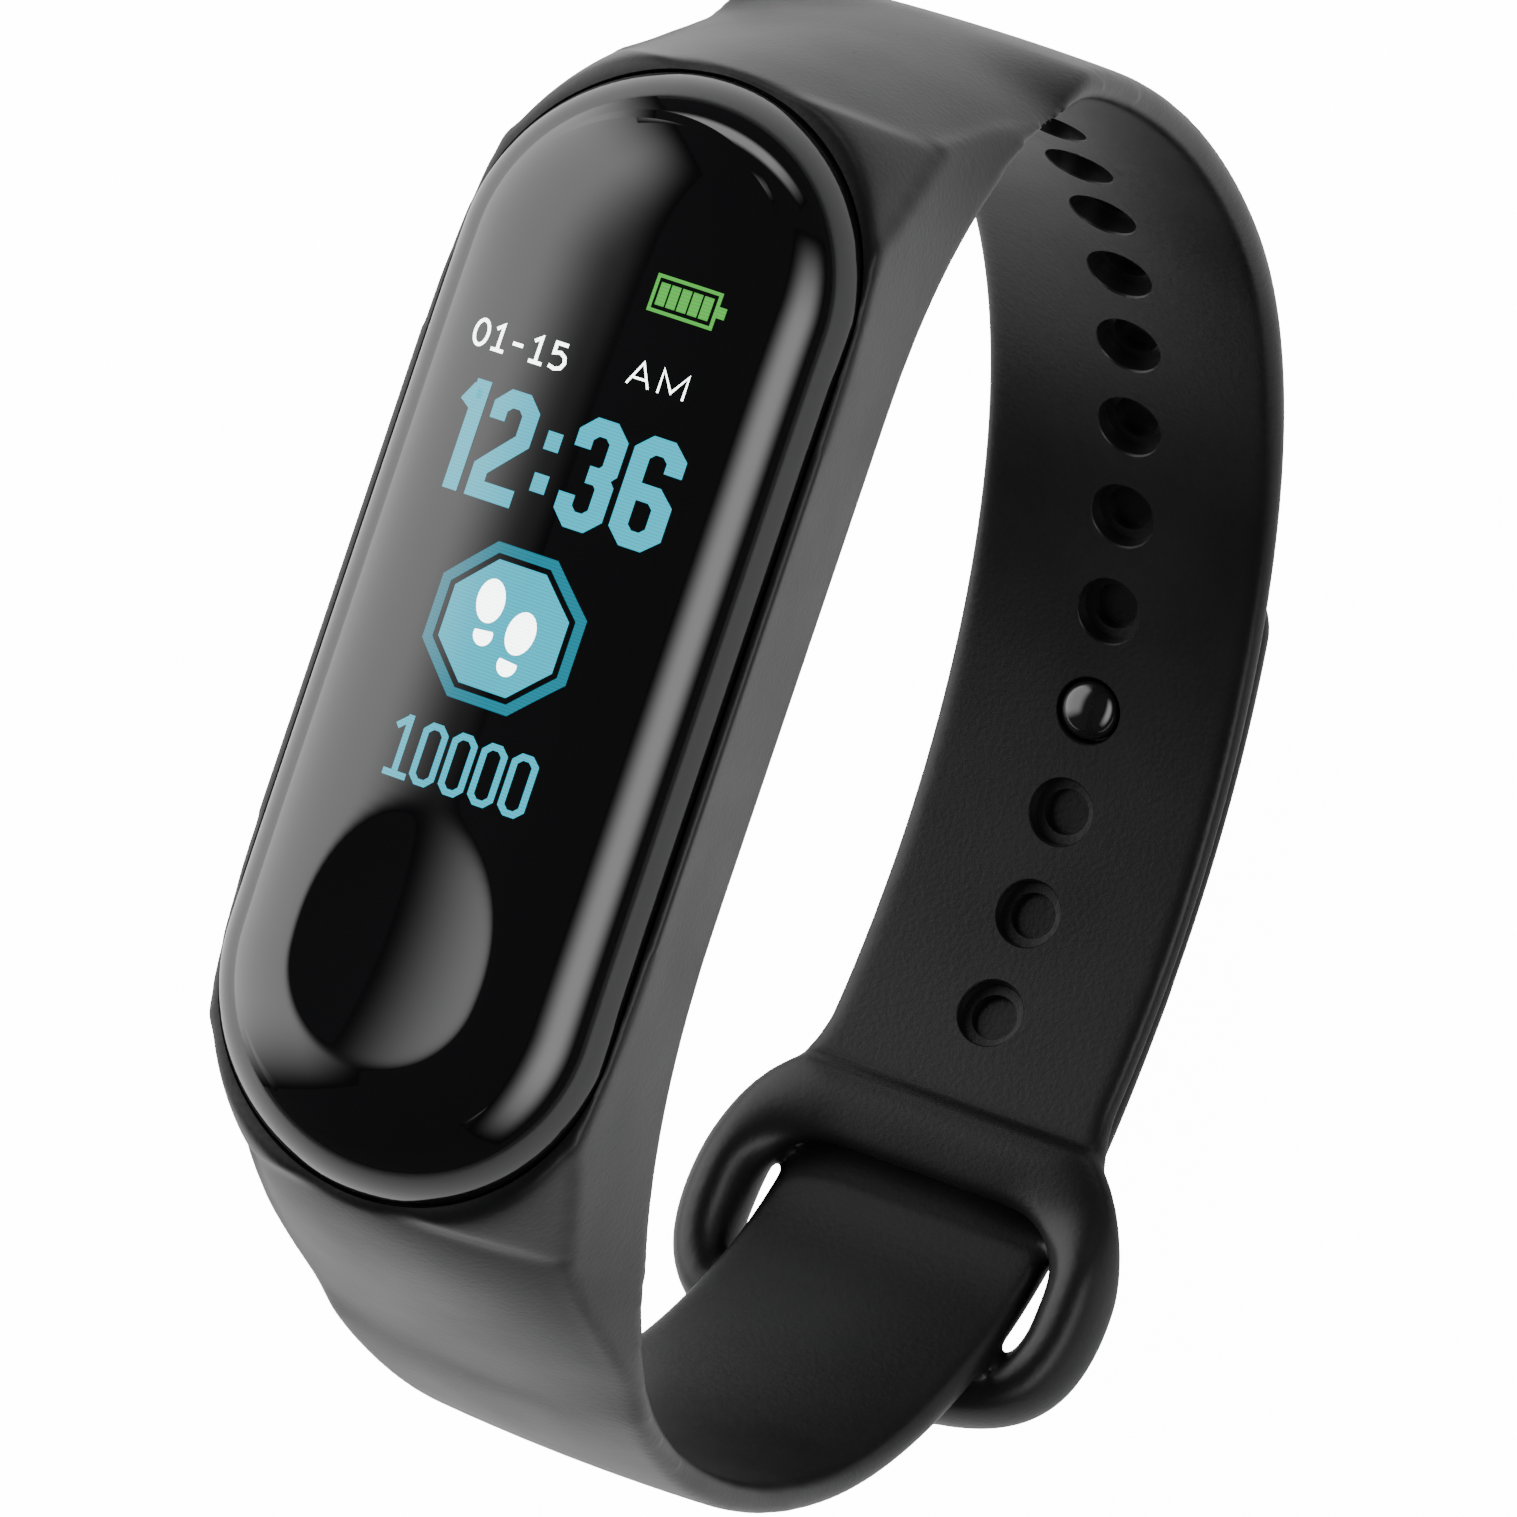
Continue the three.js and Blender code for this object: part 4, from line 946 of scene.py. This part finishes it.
def time_digit(char, x):
    """One blocky digit of the time with cut corners, from its centre line."""
    w, h, c = DIGIT_WIDTH, DIGIT_HEIGHT, CHAMFER
    over_top = [(0, h - 0.95), (0, h - c), (c, h), (w - c, h), (w, h - c)]
    under = [(w, c), (w - c, 0), (c, 0), (0, c), (0, 0.95)]
    lines = {
        "1": [[(w, -0.35), (w, h + 0.35)], [(w - 0.55, h - 0.75), (w - 0.1, h)]],
        "2": [over_top + [(w, h * 0.6), (0, h * 0.22), (0, 0), (w + 0.35, 0)]],
        "3": [
            over_top + [(w, h / 2 + 0.35), (w - 0.3, h / 2), (w, h / 2 - 0.35)] + under,
            [(0.55, h / 2), (w - 0.3, h / 2)],
        ],
        "6": [
            [(w - px, py) for px, py in over_top] + [(0, c), (c, 0), (w - c, 0), (w, c), (w, h * 0.5 - c)]
            + [(w - c, h * 0.5), (0.3, h * 0.5)]
        ],
    }[char]
    return [quad for line in moved(lines, x, DIGIT_FOOT) for quad in stroke(line, CYAN_STROKE)]


def outline_ring(points, width):
    """A closed outline of a given width just inside the points."""
    count = len(points)
    centre = Vector((sum(p[0] for p in points) / count, sum(p[1] for p in points) / count))
    inner = [Vector(p) + (centre - Vector(p)).normalized() * width * 0.6 for p in points]
    return stroke(inner, width, closed=True)


time_shapes = []
for char, x in (("1", -5.2), ("2", -2.75), ("3", 1.1), ("6", 3.45)):
    time_shapes += time_digit(char, x)
for y in (5.27, 6.97):
    time_shapes.append([(-0.45, y), (0.2, y), (0.2, y + 0.75), (-0.45, y + 0.75)])
patches("time", cyan, time_shapes)

DATE_STROKE = 0.15
DATE_FOOT = 10.05
turns = [2 * math.pi * i / 20 for i in range(20)]
zero = [(0.33 + 0.33 * math.cos(a), 0.5 + 0.5 * math.sin(a)) for a in turns]
one = [[(0.1, 0.8), (0.38, 1.0), (0.38, 0.0)], [(0.08, 0.0), (0.68, 0.0)]]
five = [
    (0.6, 1.0), (0.1, 1.0), (0.1, 0.6), (0.38, 0.66), (0.6, 0.52),
    (0.66, 0.3), (0.55, 0.08), (0.3, 0.0), (0.02, 0.07),
]
date_shapes = stroke(moved([zero], -5.05, DATE_FOOT)[0], DATE_STROKE, closed=True)
for x in (-4.15, -2.35):
    date_shapes += [quad for line in moved(one, x, DATE_FOOT) for quad in stroke(line, DATE_STROKE)]
date_shapes += stroke([(-3.15, 10.5), (-2.68, 10.5)], DATE_STROKE)
date_shapes += stroke(moved([five], -1.4, DATE_FOOT)[0], DATE_STROKE)
patches("date", white, date_shapes)

THIN_STROKE = 0.09
half_day = stroke([(1.95, 10.4), (2.4, 11.35), (2.85, 10.4)], THIN_STROKE)
half_day += stroke([(2.1, 10.7), (2.7, 10.7)], THIN_STROKE)
half_day += stroke([(3.25, 10.4), (3.25, 11.35), (3.75, 10.55), (4.25, 11.35), (4.25, 10.4)], THIN_STROKE)
patches("half_day", white, half_day)

battery = outline_ring([(1.75, 13.35), (4.45, 13.35), (4.45, 14.8), (1.75, 14.8)], 0.14)
for i in range(5):
    left = 2.0 + 0.45 * i
    battery.append([(left, 13.62), (left + 0.38, 13.62), (left + 0.38, 14.53), (left, 14.53)])
battery.append([(4.45, 13.85), (4.75, 13.85), (4.75, 14.3), (4.45, 14.3)])
patches("battery_sign", green, battery)

ICON_X, ICON_Y = 0.35, -0.13


def octagon(radius):
    corners = [math.radians(22.5 + 45 * i) for i in range(8)]
    return [(ICON_X + radius * math.cos(a), ICON_Y + radius * math.sin(a)) for a in corners]


patches("icon_rim", teal, outline_ring(octagon(3.45), 0.42))
patches("icon_face", cyan, [octagon(2.72)])


def sole(x, y, turn):
    """Front and heel of one shoe print; the heel is cut off straight at its front."""
    shapes = []
    for cy, rx, ry, top in ((0.45, 0.60, 0.88, 1.0), (-0.88, 0.42, 0.46, 0.35)):
        ring = []
        for i in range(24):
            a = 2 * math.pi * i / 24
            px, py = rx * math.cos(a), cy + ry * min(top, math.sin(a))
            c, s = math.cos(turn), math.sin(turn)
            ring.append((x + px * c - py * s, y + px * s + py * c))
        shapes.append(ring)
    return shapes


prints = sole(ICON_X - 0.78, ICON_Y + 0.42, 0.1) + sole(ICON_X + 0.75, ICON_Y - 0.42, -0.1)
patches("icon_prints", white, prints, lift=2 * INK_LIFT)

step_shapes = []
STEP_STROKE = 0.27
tall = ((0.25, 0), (0.6, 0), (0.85, 0.25), (0.85, 2.0), (0.6, 2.25), (0.25, 2.25), (0, 2.0), (0, 0.25))
for i in range(1, 5):
    step_shapes += stroke(moved([tall], -2.62 + 1.3 * i, -6.82)[0], STEP_STROKE, closed=True)
for line in ([(-2.1, -6.7), (-2.1, -4.44)], [(-2.6, -6.82), (-1.55, -6.82)], [(-2.6, -5.0), (-2.15, -4.6)]):
    step_shapes += stroke(line, STEP_STROKE)
patches("step_count", cyan, step_shapes)


# ---- Rear cover -----------------------------------------------------------------------------
# The capsule's matt black back, a moulded tray with a soft edge, bored for the pulse sensor's
# window and for two charging contacts.

REAR_FACE = SKIN_HEIGHT - 0.6
SHELL_RADIUS = LENS_RADIUS - 0.95
SHELL_WALL = 1
SHELL_RIM = SKIN_HEIGHT + 2.9
BACK_ROUND = 1.2
WINDOW_BORE = 3.15
CONTACT_BORE = 1.02
CONTACT_X, CONTACT_Y = 2.2, 16.6


def rear_cover():
    rings = []
    for i in range(13):
        a = math.radians(90 * i / 12)
        radius = SHELL_RADIUS - BACK_ROUND + 1.0 * math.sin(a)
        rings.append(stadium(radius, REAR_FACE + BACK_ROUND * (1 - math.cos(a)), 128))
    rings.append(stadium(SHELL_RADIUS, SHELL_RIM, 128))
    rings.append(stadium(SHELL_RADIUS - SHELL_WALL, SHELL_RIM, 128))
    rings.append(stadium(SHELL_RADIUS - SHELL_WALL, REAR_FACE + SHELL_WALL, 128))
    piece = tube("rear_cover_moulding", rings)
    tools = [((0, 0), WINDOW_BORE)]
    tools += [((side * CONTACT_X, CONTACT_Y), CONTACT_BORE) for side in (-1, 1)]
    for (x, y), r in tools:
        rows = ((r + 0.25, -1.0), (r + 0.06, -0.02), (r, 0.1), (r, 2.0))
        turn = [2 * math.pi * i / 64 for i in range(64)]
        rings = []
        for radius, height in rows:
            z = REAR_FACE + height
            rings.append([(x + radius * math.cos(a), y + radius * math.sin(a), z) for a in turn])
        carve(piece, tube("bore_tool", rings))
    piece.data.polygons.foreach_set("use_smooth", [True] * len(piece.data.polygons))
    piece.data.set_sharp_from_angle(angle=math.radians(32))
    return piece


matt_black = moulded(
    "matt_black", (0.008, 0.008, 0.009), (0.014, 0.014, 0.015), (0.42, 0.55), bump=0.02, grain=9000
)
finish_piece(rear_cover(), matt_black, "black_plastic", "capsule", "rear_cover")


# ---- Capsule's inner parts ------------------------------------------------------------------
# Everything else is as built in the frame: boards, chips, battery, motor, display stack and the
# seals. Each node keeps its mesh and takes the finish of the real part.

circuit = moulded(
    "circuit_board_mask", (0.004, 0.05, 0.018), (0.01, 0.09, 0.03), (0.25, 0.4), bump=0.01, drift=400
)
chip = moulded(
    "chip_package", (0.012, 0.012, 0.013), (0.02, 0.02, 0.022), (0.45, 0.6), bump=0.01, grain=12000
)
rubber_red = moulded("seal_rubber_red", (0.10, 0.02, 0.012), (0.17, 0.035, 0.02), (0.5, 0.7))
tape = moulded("tape", (0.012, 0.012, 0.012), (0.02, 0.02, 0.02), (0.6, 0.8))
dark_glass = moulded("dark_glass", (0.003, 0.006, 0.004), (0.006, 0.01, 0.008), (0.03, 0.06), bump=0.0)
gold = moulded("gold_plate", (0.75, 0.48, 0.16), (0.85, 0.6, 0.25), (0.2, 0.32), bump=0.002, metallic=1)
copper = moulded("copper_foil", (0.62, 0.26, 0.12), (0.75, 0.38, 0.2), (0.25, 0.4), bump=0.004, metallic=1)
steel = moulded("drawn_steel", (0.42, 0.43, 0.45), (0.56, 0.57, 0.59), (0.22, 0.36), bump=0.003, metallic=1)
sintered = moulded(
    "sintered_weight", (0.18, 0.18, 0.19), (0.28, 0.28, 0.29), (0.4, 0.6), bump=0.02, metallic=1
)
foil = moulded(
    "battery_foil", (0.48, 0.49, 0.5), (0.62, 0.63, 0.65), (0.3, 0.5), bump=0.05, grain=900, metallic=1
)
led_lens = moulded("led_moulding", (0.5, 0.75, 0.45), (0.65, 0.92, 0.6), (0.1, 0.2), bump=0.0)
ceramic = moulded("antenna_ceramic", (0.6, 0.62, 0.6), (0.75, 0.77, 0.74), (0.4, 0.6))
ivory = moulded("connector_moulding", (0.62, 0.57, 0.45), (0.75, 0.7, 0.58), (0.35, 0.5))
diffuser = moulded("diffuser_film", (0.72, 0.77, 0.82), (0.82, 0.86, 0.9), (0.3, 0.5))
foam = moulded("foam_pad", (0.02, 0.02, 0.022), (0.05, 0.05, 0.055), (0.8, 0.95), bump=0.08, grain=2500)
amber_film = moulded("flex_film", (0.36, 0.15, 0.02), (0.5, 0.24, 0.05), (0.25, 0.4))
panel_glass = moulded("panel_glass", (0.004, 0.004, 0.006), (0.008, 0.008, 0.012), (0.05, 0.1), bump=0.0)
finishes = {
    "seal_rubber": rubber_red,
    "adhesive": tape,
    "black_plastic": matt_black,
    "window": dark_glass,
    "gold_plate": gold,
    "circuit_board": circuit,
    "chip_black": chip,
    "led": led_lens,
    "battery_foil": foil,
    "steel": steel,
    "tungsten": sintered,
    "antenna_ceramic": ceramic,
    "connector": ivory,
    "display_glass": panel_glass,
    "backlight": diffuser,
    "foam": foam,
    "flex_film": amber_film,
    "copper": copper,
}
slots = {row["node"]: row["material_slot"] for row in frame["record"]["subparts"]}
for name, node in frame["nodes"].items():
    if slots[name] in finishes:
        node.data.materials.clear()
        node.data.materials.append(finishes[slots[name]])
